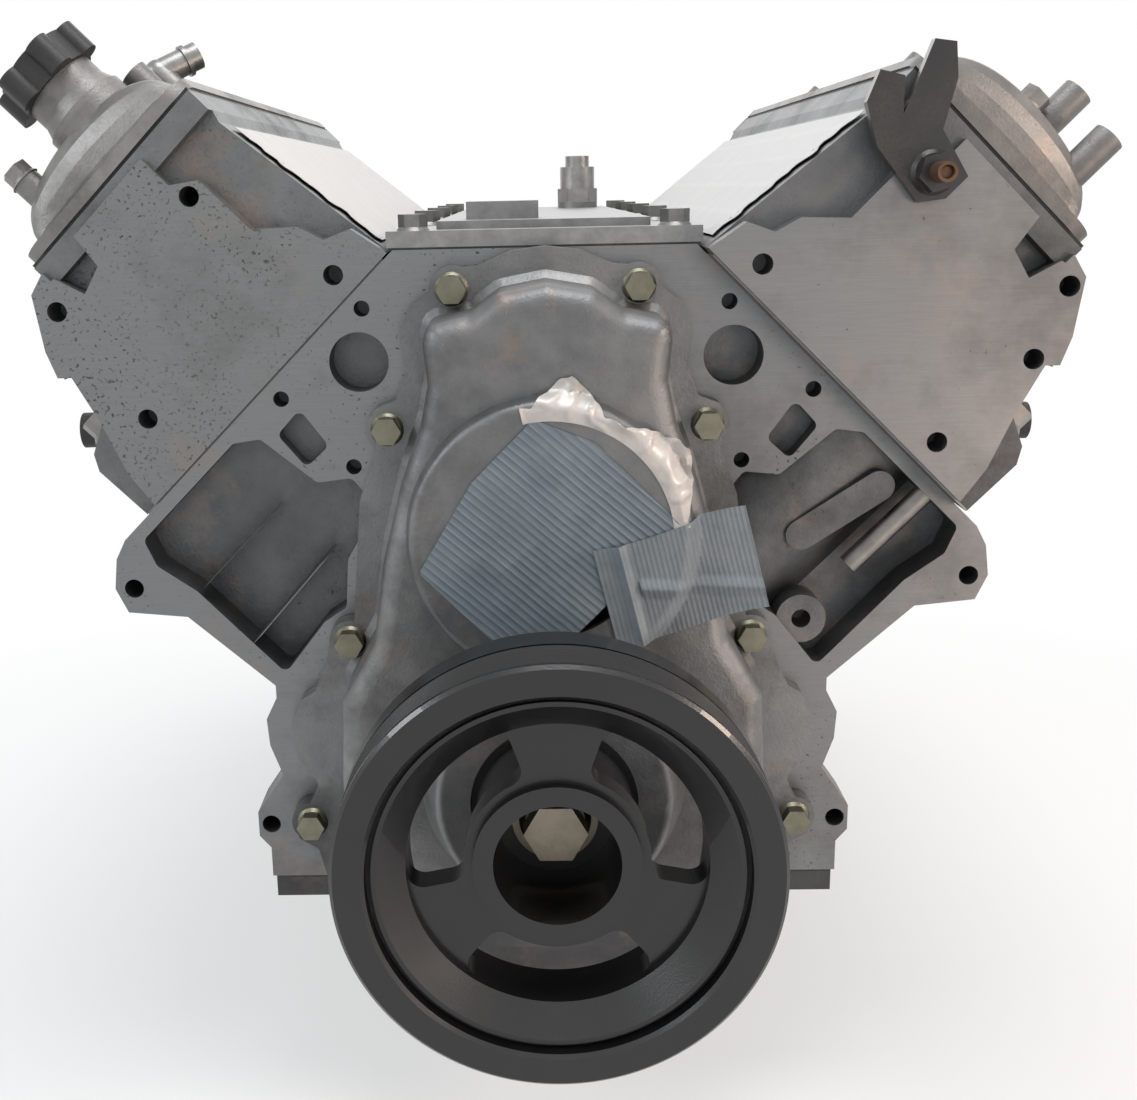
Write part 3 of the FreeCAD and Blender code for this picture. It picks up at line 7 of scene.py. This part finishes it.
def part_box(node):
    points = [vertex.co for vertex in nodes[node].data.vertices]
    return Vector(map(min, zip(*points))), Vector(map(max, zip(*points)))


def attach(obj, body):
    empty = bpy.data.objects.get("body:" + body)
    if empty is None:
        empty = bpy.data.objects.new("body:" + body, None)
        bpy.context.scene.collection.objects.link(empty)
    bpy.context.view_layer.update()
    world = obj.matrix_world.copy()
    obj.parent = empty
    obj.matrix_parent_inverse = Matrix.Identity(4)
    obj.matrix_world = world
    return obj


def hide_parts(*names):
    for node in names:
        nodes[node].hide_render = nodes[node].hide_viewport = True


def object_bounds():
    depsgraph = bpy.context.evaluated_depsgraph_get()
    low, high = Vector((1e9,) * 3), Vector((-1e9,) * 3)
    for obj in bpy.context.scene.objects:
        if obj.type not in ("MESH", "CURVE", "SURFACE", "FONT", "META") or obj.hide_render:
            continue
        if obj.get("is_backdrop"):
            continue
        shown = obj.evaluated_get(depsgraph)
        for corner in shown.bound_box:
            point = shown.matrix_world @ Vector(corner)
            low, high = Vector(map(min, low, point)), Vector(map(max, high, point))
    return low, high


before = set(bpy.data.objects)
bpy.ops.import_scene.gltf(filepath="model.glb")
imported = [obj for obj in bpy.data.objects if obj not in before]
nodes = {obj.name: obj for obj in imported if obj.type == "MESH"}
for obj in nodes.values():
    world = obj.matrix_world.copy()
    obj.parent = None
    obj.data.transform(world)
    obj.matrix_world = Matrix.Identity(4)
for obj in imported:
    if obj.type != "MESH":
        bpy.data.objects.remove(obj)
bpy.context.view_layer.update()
MM = 0.001
HALF = sqrt(0.5)                         # sine and cosine of each bank's 45 degrees
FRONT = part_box("engine_block")[0].y      # the block's front face
CAM_HEIGHT = 124.8 * MM                  # of the camshaft above the crankshaft


# Shader maths ---------------------------------------------------------------------------------

class Socket:
    """One output in a node tree; + - * and a few named steps on it add nodes."""

    def __init__(self, tree, output):
        self.tree = tree
        self.output = output

    def __add__(self, other):
        return self.tree.maths("ADD", self, other)

    def __sub__(self, other):
        return self.tree.maths("SUBTRACT", self, other)

    def __rsub__(self, other):
        return self.tree.maths("SUBTRACT", other, self)

    def __mul__(self, other):
        return self.tree.maths("MULTIPLY", self, other)

    __radd__ = __add__
    __rmul__ = __mul__

    def wave(self):
        return self.tree.maths("SINE", self)

    def most(self, other):
        return self.tree.maths("MAXIMUM", self, other)

    def step(self, low, high):
        """0 below low, 1 above high, a ramp between them; low may be the greater."""
        ramp = self.tree.node("ShaderNodeMapRange", {}, {"Value": self, "From Min": low, "From Max": high})
        return Socket(self.tree, ramp.outputs["Result"])


class Tree:
    """A material's or world's node tree; node() is the one way in which anything is added to it."""

    def __init__(self, tree):
        self.tree = tree

    def node(self, kind, settings, values):
        """A new node of one kind with its settings, then its sockets' values or links."""
        new = self.tree.nodes.new(kind)
        for name, setting in settings.items():
            setattr(new, name, setting)
        for slot, value in values.items():
            self.feed(new.inputs[slot], value)
        return new

    def feed(self, slot, value):
        """Link a socket to an input, or set the input's value; a colour may come without its alpha."""
        if isinstance(value, Socket):
            self.tree.links.new(value.output, slot)
        elif slot.type == "RGBA":
            slot.default_value = tuple(value[:3]) + (1.0,)
        else:
            slot.default_value = value

    def maths(self, operation, *operands):
        new = self.node("ShaderNodeMath", {"operation": operation}, dict(enumerate(operands)))
        return Socket(self, new.outputs[0])

    def parts(self, output):
        """The x, y and z of a vector output."""
        split = self.node("ShaderNodeSeparateXYZ", {}, {0: Socket(self, output)})
        return [Socket(self, part) for part in split.outputs]

    def open_ray(self):
        """1 for rays that should see plain white: from the camera, in metal and through glass."""
        path = self.node("ShaderNodeLightPath", {}, {})
        straight, mirrored, through = (Socket(self, path.outputs[f"Is {kind} Ray"])
                                       for kind in ("Camera", "Glossy", "Transmission"))
        return straight.most(mirrored).most(through)

    def blend(self, share, first, second, target):
        """Mix two shaders into the tree's output node."""
        mixed = self.node("ShaderNodeMixShader", {}, {0: share, 1: Socket(self, first.outputs[0]),
                                                      2: Socket(self, second.outputs[0])})
        self.feed(target.inputs[0], Socket(self, mixed.outputs[0]))


class Paint(Tree):
    """A new material with the sources that its colour, roughness and bump are built from."""

    def __init__(self, name, metallic=0.0, coat=0.0):
        self.material = bpy.data.materials.new(name)
        self.material.use_nodes = True
        super().__init__(self.material.node_tree)
        self.shader = self.tree.nodes["Principled BSDF"]
        self.feed(self.shader.inputs["Metallic"], metallic)
        self.feed(self.shader.inputs["Coat Weight"], coat)
        place = self.node("ShaderNodeTexCoord", {}, {})
        self.place = Socket(self, place.outputs["Object"])
        self.x, self.y, self.z = self.parts(place.outputs["Object"])
        self.ny, self.nz = self.parts(place.outputs["Normal"])[1:]

    def noise(self, scale, detail=3.0, rough=0.55, stretch=None):
        vector = self.place
        if stretch:
            mapping = self.node("ShaderNodeMapping", {}, {"Vector": vector, "Scale": stretch})
            vector = Socket(self, mapping.outputs["Vector"])
        new = self.node("ShaderNodeTexNoise", {}, {"Vector": vector, "Scale": scale, "Detail": detail,
                                                   "Roughness": rough})
        return Socket(self, new.outputs["Fac"])

    def mix(self, share, first, second):
        """Colour mix; either colour may be a tuple or a socket."""
        new = self.node("ShaderNodeMix", {"data_type": "RGBA"}, {0: share, 6: first, 7: second})
        return Socket(self, new.outputs[2])

    def finish(self, colour, roughness, height=None, strength=0.3, distance=0.001):
        self.feed(self.shader.inputs["Base Color"], colour)
        self.feed(self.shader.inputs["Roughness"], roughness)
        if height:
            bump = self.node("ShaderNodeBump", {}, {"Strength": strength, "Distance": distance,
                                                    "Height": height})
            self.feed(self.shader.inputs["Normal"], Socket(self, bump.outputs["Normal"]))
        return self.material


# Materials ------------------------------------------------------------------------------------

GRIME = (0.055, 0.052, 0.05)             # old oil and dust, burnt on
COPPER_RUST = (0.30, 0.22, 0.17)
PIT = (0.07, 0.06, 0.055)
MACHINED_SKIN = 0.0006                   # how far off a machined plane still counts as on it
MILLING = (1.0, 1.0, 30.0)               # milling marks run level


def shade_of(colour, share):
    return tuple(share * part for part in colour)


def casting(name, dark, light, rust=COPPER_RUST, machined=None, pits=0.66):
    """Sand-cast aluminium; faces on the machined plane are milled, bright and pitted."""
    paint = Paint(name, metallic=0.82)
    broad = paint.noise(9, 4, 0.6)
    middle = paint.noise(60, 5, 0.65)
    fine = paint.noise(700, 3, 0.6)
    stain = paint.noise(22, 6, 0.7).step(0.56, 0.72)
    grime = paint.noise(7, 6, 0.72).step(0.5, 0.66)
    colour = paint.mix(broad.step(0.35, 0.68) * 0.6 + middle.step(0.3, 0.75) * 0.4, dark, light)
    colour = paint.mix(stain * 0.45, colour, rust)
    colour = paint.mix(grime * 0.6, colour, GRIME)
    colour = paint.mix(fine.step(0.62, 0.78) * 0.4, colour, shade_of(dark, 0.45))
    roughness = middle * 0.25 + 0.36 + grime * 0.12
    height = fine * 0.6 + middle * 0.9
    if machined is not None:
        flat = front_face(paint, machined)
        mill = paint.noise(60, 3, 0.5, stretch=MILLING)
        pit = (paint.noise(520, 2, 0.5).step(pits, pits + 0.06) *
               paint.noise(16, 3, 0.6).step(0.38, 0.62))
        bright = paint.mix(mill, shade_of(light, 0.85), shade_of(light, 1.1))
        bright = paint.mix(stain * 0.35, bright, rust)
        bright = paint.mix(grime * 0.35, bright, GRIME)
        bright = paint.mix(pit * 0.85, bright, PIT)
        colour = paint.mix(flat, colour, bright)
        roughness = roughness - flat * 0.1 + pit * 0.3
        height = height * (1 - flat * 0.85) - pit * flat * 0.35
    return paint.finish(colour, roughness, height, 0.55, 0.0006)


def front_face(paint, station):
    """1 on faces that look forward and lie at one station."""
    forward = paint.ny.step(-0.9, -0.98)
    return forward * paint.y.step(station + 2 * MACHINED_SKIN, station + MACHINED_SKIN)


def steel(name, colour, roughness=0.38, tint=(0.35, 0.28, 0.2), wear=0.4):
    paint = Paint(name, metallic=1.0)
    blotch = paint.noise(90, 4, 0.65)
    scratch = paint.noise(400, 4, 0.7)
    shade = paint.mix(blotch.step(0.35, 0.7), shade_of(colour, 0.7), colour)
    shade = paint.mix(scratch.step(0.58, 0.75) * wear, shade, tint)
    return paint.finish(shade, blotch * 0.25 + (roughness - 0.08), scratch, 0.25, 0.0003)


def black(name, colour, roughness=0.45, coat=0.0, dust=(0.30, 0.29, 0.28), dusting=1.0):
    """Black paint, plastic or rubber with some dust, more of it on what faces up."""
    paint = Paint(name, coat=coat)
    broad = paint.noise(25, 5, 0.65)
    fine = paint.noise(900, 3, 0.6)
    dusty = (broad.step(0.45, 0.75) * 0.25 + paint.nz.step(0.1, 1.0) * 0.12) * dusting
    shade = paint.mix(dusty * fine.step(0.3, 0.6), colour, dust)
    return paint.finish(shade, broad * 0.3 + (roughness - 0.12), fine + broad * 2.0, 0.2, 0.0004)


def tape(name, colour, pale, ribs, direction, show=0.75, gloss=0.34):
    """Cloth tape, ribbed every so many millimetres across a direction, scuffed and dusty."""
    paint = Paint(name, metallic=0.1)
    along = paint.x * direction[0] + paint.z * direction[1] + paint.noise(30, 2, 0.5) * 0.8 * MM
    rib = (along * (2 * pi / (ribs * MM))).wave()
    scuff = paint.noise(40, 5, 0.7)
    shade = paint.mix(scuff.step(0.35, 0.75), colour, pale)
    line = rib.step(0.72, 1.0) * paint.noise(55, 3, 0.6).step(0.25, 0.6)
    shade = paint.mix(line * show, shade, shade_of(pale, 1.5))
    bump = rib * show + paint.noise(120, 3, 0.6) * 1.5
    return paint.finish(shade, scuff * 0.3 + gloss, bump, 0.4, 0.0004)


def head_face(side):
    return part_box(f"cylinder_head_{side}")[0].y


COVER_DARK, COVER_LIGHT = (0.13, 0.127, 0.124), (0.27, 0.262, 0.255)
LOOKS = {
    "engine_block": casting("block_cast", (0.085, 0.09, 0.095), (0.21, 0.215, 0.22), machined=FRONT),
    "cylinder_head_right": casting("head_cast_right", (0.10, 0.105, 0.11), (0.22, 0.222, 0.225), pits=0.72,
                                   machined=head_face("right")),
    "cylinder_head_left": casting("head_cast_left", (0.09, 0.098, 0.102), (0.20, 0.208, 0.212), pits=0.60,
                                  machined=head_face("left")),
    "front_cover": casting("cover_cast", (0.12, 0.125, 0.13), (0.27, 0.27, 0.27), (0.30, 0.20, 0.14)),
    "rocker_cover_right": casting("rocker_cast_right", COVER_DARK, COVER_LIGHT),
    "rocker_cover_left": casting("rocker_cast_left", COVER_DARK, COVER_LIGHT),
    "rear_cover": casting("rear_cast", (0.17, 0.165, 0.16), (0.32, 0.31, 0.30)),
    "oil_filler_neck": casting("neck_cast", (0.15, 0.147, 0.144), (0.29, 0.283, 0.276)),
    "oil_pan": casting("pan_cast", (0.05, 0.05, 0.053), (0.12, 0.12, 0.12)),
    "valley_cover": steel("plate_silver", (0.30, 0.30, 0.30), 0.42, (0.20, 0.185, 0.165)),
    "valley_cover_bolts": steel("bolt_dark", (0.22, 0.22, 0.215), 0.4),
    "front_cover_bolts": steel("bolt_olive", (0.23, 0.225, 0.17), 0.38),
    "damper_bolt": steel("bolt_grey_gold", (0.28, 0.25, 0.20), 0.4),
    "pressure_sensor": steel("sensor_silver", (0.42, 0.41, 0.40), 0.3),
    "vent_tube": steel("tube_grey", (0.30, 0.30, 0.295), 0.35),
    "oil_filler_cap": black("cap_black", (0.010, 0.010, 0.011), dusting=0.35),
    "spark_plug_caps": black("plug_black", (0.02, 0.02, 0.02), 0.55),
    "damper_ring": black("damper_black", (0.004, 0.004, 0.005), 0.30, coat=0.25, dusting=0.05),
    "damper_hub": black("damper_hub_black", (0.004, 0.004, 0.005), 0.32, coat=0.25, dusting=0.06),
    "damper_rubber": black("damper_rubber", (0.015, 0.015, 0.015), 0.7),
    "lift_bracket": black("bracket_black", (0.010, 0.010, 0.011), 0.35, coat=0.3,
                          dust=(0.35, 0.25, 0.17), dusting=0.4),
    "block_gaskets": black("gasket_black", (0.015, 0.015, 0.015), 0.6),
    "rocker_cover_gaskets": black("gasket_rubber", (0.012, 0.012, 0.012), 0.6),
    "crank_seals": black("seal_black", (0.015, 0.015, 0.015), 0.55),
}
TAPES = {
    "round": tape("tape_grey", (0.125, 0.165, 0.195), (0.19, 0.235, 0.265), 3.4, (0.66, 0.75)),
    "strip": tape("tape_grey_strip", (0.15, 0.185, 0.21), (0.24, 0.275, 0.30), 2.3, (0.97, 0.24), show=0.35),
    "rim": tape("tape_bright", (0.42, 0.41, 0.40), (0.66, 0.63, 0.60), 5.0, (0.97, 0.24), 0.0, 0.2),
    "pale": tape("sheet_pale", (0.40, 0.395, 0.39), (0.50, 0.49, 0.48), 9.0, (0.3, 0.3), 0.1),
}
RUST = steel("stud_rust", (0.16, 0.10, 0.07), 0.55, (0.30, 0.15, 0.08), 0.7)
PLAIN_STEEL = steel("steel_plain", (0.28, 0.27, 0.26), 0.4)
CAST_EDGE, PLAIN_EDGE = 0.8 * MM, 0.5 * MM
CAST_EDGED = ("engine_block", "front_cover")


def dress_nodes():
    """Every CAD node gets its material, smooth curved faces and slightly broken edges."""
    for name, piece in nodes.items():
        material = LOOKS.get(name, PLAIN_STEEL)
        for slot in piece.material_slots:
            slot.material = material
        if not piece.material_slots:
            piece.data.materials.append(material)
        piece.data.shade_smooth()
        bevel = piece.modifiers.new("edges", "BEVEL")
        bevel.width = CAST_EDGE if name in CAST_EDGED else PLAIN_EDGE
        bevel.segments = 2
        bevel.limit_method, bevel.angle_limit = "ANGLE", radians(35)
        bevel.harden_normals = True


# Tape and torn sheet --------------------------------------------------------------------------
# Sizes in this section are in millimetres until they become a Vector.

DECK = 234.7                             # crankshaft to head face, along a bore
FIRST_BORE = {1: 62.0, -1: 86.1}         # behind the front face, on the right and left bank
TAPE_FACE = -70.55                       # tape over the cover's round face, ahead of the block
ROUND_EDGE = 62.5                        # radius past which tape bends back on to the cover
DISC_REACH = 61
DISC_OUTLINE = [(-28.7, 39.5), (-17.9, 51.4), (-2.4, 56.6), (12, 56.2), (26.3, 52), (40.7, 44.3),
                (52.6, 31), (58.6, 17), (59.5, 0), (52, -24), (25, -33), (9, -47), (-18, -57),
                (-38, -50), (-52.6, -31), (-60.2, -10.8), (-59.6, 6), (-55, 16.7)]
RIM_INSIDE, RIM_OUTSIDE = 57.5, 64.5     # radii of the torn rim where nothing sticks out
RIM_TURN = (102, 6)                      # degrees from the first end to the last
RIM_PEAKS = [(82, 15, 13.5), (33, 24, 13)]   # angle, half width, height
STRIP_MIDDLE = (61.5, -19.0)
STRIP_HALF = (37, 25.5)
STRIP_TILT = radians(14)
SHEET_LENGTH, SHEET_START = 470, -68     # along the head, from its first bore
SHEET_RISE = (8, 91)                     # above the deck: lower edge, then width
FACE_LEAN = 10.8 / 94                    # how much the intake face leans out per millimetre up


def on_bank(side, across, station, above):
    """Place on one bank: out from its valley side, back from its first bore, above its deck."""
    return Vector((side * HALF * (across + above + DECK) * MM,
                   FRONT + (station + FIRST_BORE[side]) * MM,
                   HALF * (above - across + DECK) * MM))


def on_cover(x, ahead, z):
    """Place over the front cover: across, ahead or back of the block's face, above the camshaft."""
    return Vector((x * MM, FRONT + ahead * MM, CAM_HEIGHT + z * MM))


def grid_piece(name, columns, rows, shape, cuts=(), thick=0.35):
    """Cut a subdivided sheet with straight cuts, lay it by shape(u, v), and give it its thickness.

    u and v run from -1 to 1; each cut is (point, outward normal) in u and v."""
    bpy.ops.object.select_all(action="DESELECT")
    bpy.ops.mesh.primitive_grid_add(x_subdivisions=columns, y_subdivisions=rows, size=2)
    piece = bpy.context.object
    piece.name = name
    bpy.ops.object.mode_set(mode="EDIT")
    for point, normal in cuts:
        bpy.ops.mesh.select_all(action="SELECT")
        bpy.ops.mesh.bisect(plane_co=tuple(point) + (0,), plane_no=tuple(normal) + (0,), clear_outer=True)
    bpy.ops.object.mode_set(mode="OBJECT")
    for vertex in piece.data.vertices:
        vertex.co = shape(vertex.co.x, vertex.co.y)
    body = piece.modifiers.new("thickness", "SOLIDIFY")
    body.thickness, body.offset = thick * MM, 0
    bpy.ops.object.modifier_apply(modifier=body.name)
    bpy.ops.object.mode_set(mode="EDIT")
    bpy.ops.mesh.select_all(action="SELECT")
    bpy.ops.mesh.normals_make_consistent(inside=False)
    bpy.ops.object.mode_set(mode="OBJECT")
    bpy.ops.object.shade_smooth_by_angle(angle=radians(40))
    return piece


def edge_cuts(outline, reach):
    """Cuts that leave the inside of a convex outline, given clockwise."""
    cuts = []
    for (x0, z0), (x1, z1) in zip(outline, outline[1:] + outline[:1]):
        cuts.append(((x0 / reach, z0 / reach), (z0 - z1, x1 - x0)))
    return cuts


def crumple(x, z, size, seed):
    """Ridged unevenness at a place, at most 1 along its ridges, for creased tape."""
    return 1 - 3.2 * abs(noise.noise(Vector((x / size, z / size, seed))))


def ridge(value, centre, half_width):
    """1 at the centre, falling straight to 0 at half_width from it."""
    return max(0.0, 1 - abs(value - centre) / half_width)


def fall(x, z):
    """How far tape that runs past the round face bends back on to the cover."""
    past = max(0.0, sqrt(x * x + z * z) - ROUND_EDGE)
    return min(9.6, past * past * 0.12 + past * 0.25)


def disc_shape(u, v):
    x, z = DISC_REACH * u, DISC_REACH * v
    lift = 0.5 * noise.noise(Vector((x / 26, z / 26, 3.0))) + 0.25
    crease = ridge(0.62 * x - 0.78 * z, -4, 2.2) * 0.45 * (x > -25)
    return on_cover(x, TAPE_FACE - max(0.0, lift) - crease, z)


def rim_shape(u, v):
    start, end = RIM_TURN
    turn = radians(start - (u + 1) / 2 * (start - end))
    angle = degrees(turn)
    reach = RIM_OUTSIDE + sum(height * ridge(angle, middle, width) for middle, width, height in RIM_PEAKS)
    reach += 1.6 * noise.noise(Vector((angle / 4, 1.0, 7.0)))
    radius = RIM_INSIDE + (reach - RIM_INSIDE) * (v + 1) / 2
    x, z = radius * cos(turn), radius * sin(turn)
    fold = 1.1 * (v + 1.3) * max(0.0, crumple(x, z, 11, 5.0))
    return on_cover(x, TAPE_FACE - 0.3 + fall(x, z) - fold, z)


def strip_shape(u, v):
    along, up = STRIP_HALF[0] * u, STRIP_HALF[1] * v + 1.2 * sin(3 * u)
    x = STRIP_MIDDLE[0] + along * cos(STRIP_TILT) - up * sin(STRIP_TILT)
    z = STRIP_MIDDLE[1] + along * sin(STRIP_TILT) + up * cos(STRIP_TILT)
    lift = 2.6 * ridge(along, -25, 4) + 2.2 * ridge(up + 0.3 * along, -4, 5) * (along > -20)
    lift += 0.5 * noise.noise(Vector((x / 18, z / 18, 9.0)))
    return on_cover(x, TAPE_FACE - 1.3 + fall(x, z) - max(0.0, lift), z)


def tape_pieces():
    """Ribbed cloth tape over the cover's opening, its torn rim and the second strip across it."""
    disc = grid_piece("tape_round", 90, 90, disc_shape, edge_cuts(DISC_OUTLINE, DISC_REACH))
    disc.data.materials.append(TAPES["round"])
    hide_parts("tape_disc")
    rim = grid_piece("tape_rim", 120, 14, rim_shape)
    rim.data.materials.append(TAPES["rim"])
    strip = grid_piece("tape_strip", 80, 60, strip_shape)
    strip.data.materials.append(TAPES["strip"])
    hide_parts("tape_square")
    for piece in (disc, rim, strip):
        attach(piece, "engine")


def port_sheet(side, name):
    """Pale sheet taped over one head's intake face, torn along its front edge and sagging a little."""
    def shape(u, v):
        station = SHEET_START + (u + 1) / 2 * SHEET_LENGTH
        above = SHEET_RISE[0] + SHEET_RISE[1] * (v + 1) / 2
        torn = (u < -0.96) * 16 * max(0.0, noise.noise(Vector((above / 9, 2.0, side * 4.0))) + 0.35)
        across = -126.0 + FACE_LEAN * (above - 6)
        dip = 0.105 * crumple(station / 2.4, above, 24, side * 2.0)
        return on_bank(side, across - 0.9 - dip, station + torn, above)
    piece = grid_piece(name, 160, 28, shape, thick=0.25)
    piece.data.materials.append(TAPES["pale"])
    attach(piece, "engine")
    return piece


def torn_sheets():
    right = port_sheet(1, "port_sheet_right")
    port_sheet(-1, "port_sheet_left")
    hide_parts("port_tapes")


# Stud -----------------------------------------------------------------------------------------

STUD_RADIUS, STUD_LENGTH = 5.2 * MM, 34 * MM
STUD_RIM, STUD_WALL, STUD_HOLLOW = 1.6 * MM, 1.2 * MM, 2.5 * MM
STUD_TAPER = 0.12                        # share by which the front end narrows


def stud():
    """Rusty stud through the lifting bracket, with a hollow in its front end."""
    bpy.ops.object.select_all(action="DESELECT")
    middle = on_bank(1, -77, -98, 96)
    bpy.ops.mesh.primitive_cylinder_add(vertices=28, radius=STUD_RADIUS, depth=STUD_LENGTH,
                                        location=middle, rotation=(pi / 2, 0, 0))
    piece = bpy.context.object
    piece.name = "bracket_stud"
    bpy.ops.object.transform_apply(location=True, rotation=True, scale=True)
    front = middle.y - STUD_LENGTH / 2
    bpy.ops.object.mode_set(mode="EDIT")
    bpy.ops.mesh.select_all(action="DESELECT")
    bpy.ops.object.mode_set(mode="OBJECT")
    for face in piece.data.polygons:
        face.select = face.normal.y < -0.9
    bpy.ops.object.mode_set(mode="EDIT")
    bpy.ops.mesh.inset(thickness=STUD_RIM)
    bpy.ops.mesh.inset(thickness=STUD_WALL, depth=-STUD_HOLLOW)
    bpy.ops.object.mode_set(mode="OBJECT")
    for vertex in piece.data.vertices:
        if abs(vertex.co.y - front) < 0.2 * MM:
            vertex.co -= Vector((vertex.co.x - middle.x, 0, vertex.co.z - middle.z)) * STUD_TAPER
    bpy.ops.object.shade_smooth_by_angle(angle=radians(40))
    piece.data.materials.append(RUST)
    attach(piece, "engine")


# Floor, lights and camera ---------------------------------------------------------------------

AIM = Vector((0, FRONT + 0.1, 0.12))
NEUTRAL = (1, 1, 1)
LAMPS = [                                # name, place from the front face, size, power, colour
    ("over", (0.1, -0.2, 1.9), 0.9, 21, NEUTRAL),
    ("left", (-1.7, -0.7, 1.1), 0.5, 12, (0.92, 0.97, 1.0)),
    ("right", (1.7, -0.5, 0.9), 0.4, 16, (1.0, 0.80, 0.66)),
    ("low", (0.9, -1.0, -0.1), 0.35, 4, (1.0, 0.72, 0.55)),
    ("back", (0.0, 1.9, 1.3), 1.6, 9, NEUTRAL),
]
SKY, SKY_STRENGTH = (0.90, 0.95, 1.0), 0.34
CAMERA_PLACE = Vector((-0.0105, FRONT - 0.6908, 0.2855))
PITCH, YAW, ROLL = radians(13.8876), radians(-1.3051), radians(1.2845)
LENS = {"lens": 43.67, "shift_x": 0.0628, "shift_y": -0.0181}


def floor():
    """Pale floor that fades to plain white away from the object and keeps its shadow."""
    bpy.ops.object.select_all(action="DESELECT")
    bpy.ops.mesh.primitive_plane_add(size=14, location=(0, FRONT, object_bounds()[0].z - 0.001))
    ground = bpy.context.object
    ground.name = "floor"
    paint = Paint("floor_pale")
    material = paint.finish((0.93, 0.93, 0.93), 0.9)
    far = (paint.x * paint.x + paint.y * paint.y).step(0.3, 1.1)
    share = paint.open_ray() * (far * 0.45 + 0.55)
    glow = paint.node("ShaderNodeEmission", {}, {})
    paint.blend(share, paint.shader, glow, paint.tree.nodes["Material Output"])
    ground.data.materials.append(material)
    ground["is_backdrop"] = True


def surround():
    """White to the camera and in reflections, and a dimmer sky that lights the object."""
    world = bpy.data.worlds.new("studio")
    world.use_nodes = True
    tree = Tree(world.node_tree)
    sky = world.node_tree.nodes["Background"]
    tree.feed(sky.inputs["Color"], SKY)
    tree.feed(sky.inputs["Strength"], SKY_STRENGTH)
    white = tree.node("ShaderNodeBackground", {}, {"Color": NEUTRAL, "Strength": 1.0})
    tree.blend(tree.open_ray(), sky, white, world.node_tree.nodes["World Output"])
    bpy.context.scene.world = world


def lights():
    for name, (x, y, z), size, power, colour in LAMPS:
        lamp = bpy.data.lights.new(name, "AREA")
        lamp.energy, lamp.size, lamp.color = power, size, colour
        item = bpy.data.objects.new(name, lamp)
        item.location = (x, FRONT + y, z)
        item.rotation_euler = (AIM - item.location).to_track_quat("-Z", "Y").to_euler()
        bpy.context.scene.collection.objects.link(item)


def camera():
    """View from ahead of the block's front face, turned, tipped and rolled a little."""
    turned = Matrix.Rotation(-YAW, 3, "Z") @ Matrix.Rotation(-PITCH, 3, "X")
    right = turned @ Vector((cos(ROLL), 0, -sin(ROLL)))
    up = turned @ Vector((sin(ROLL), 0, cos(ROLL)))
    back = turned @ Vector((0, -1, 0))
    lens = bpy.data.cameras.new("camera")
    for setting, value in LENS.items():
        setattr(lens, setting, value)
    item = bpy.data.objects.new("camera", lens)
    axes = Matrix((right, up, back)).transposed().to_4x4()
    item.matrix_world = Matrix.Translation(CAMERA_PLACE) @ axes
    bpy.context.scene.collection.objects.link(item)
    bpy.context.scene.camera = item


dress_nodes()
tape_pieces()
torn_sheets()
stud()
floor()
lights()
surround()
camera()
bpy.context.scene.view_settings.view_transform = "Standard"
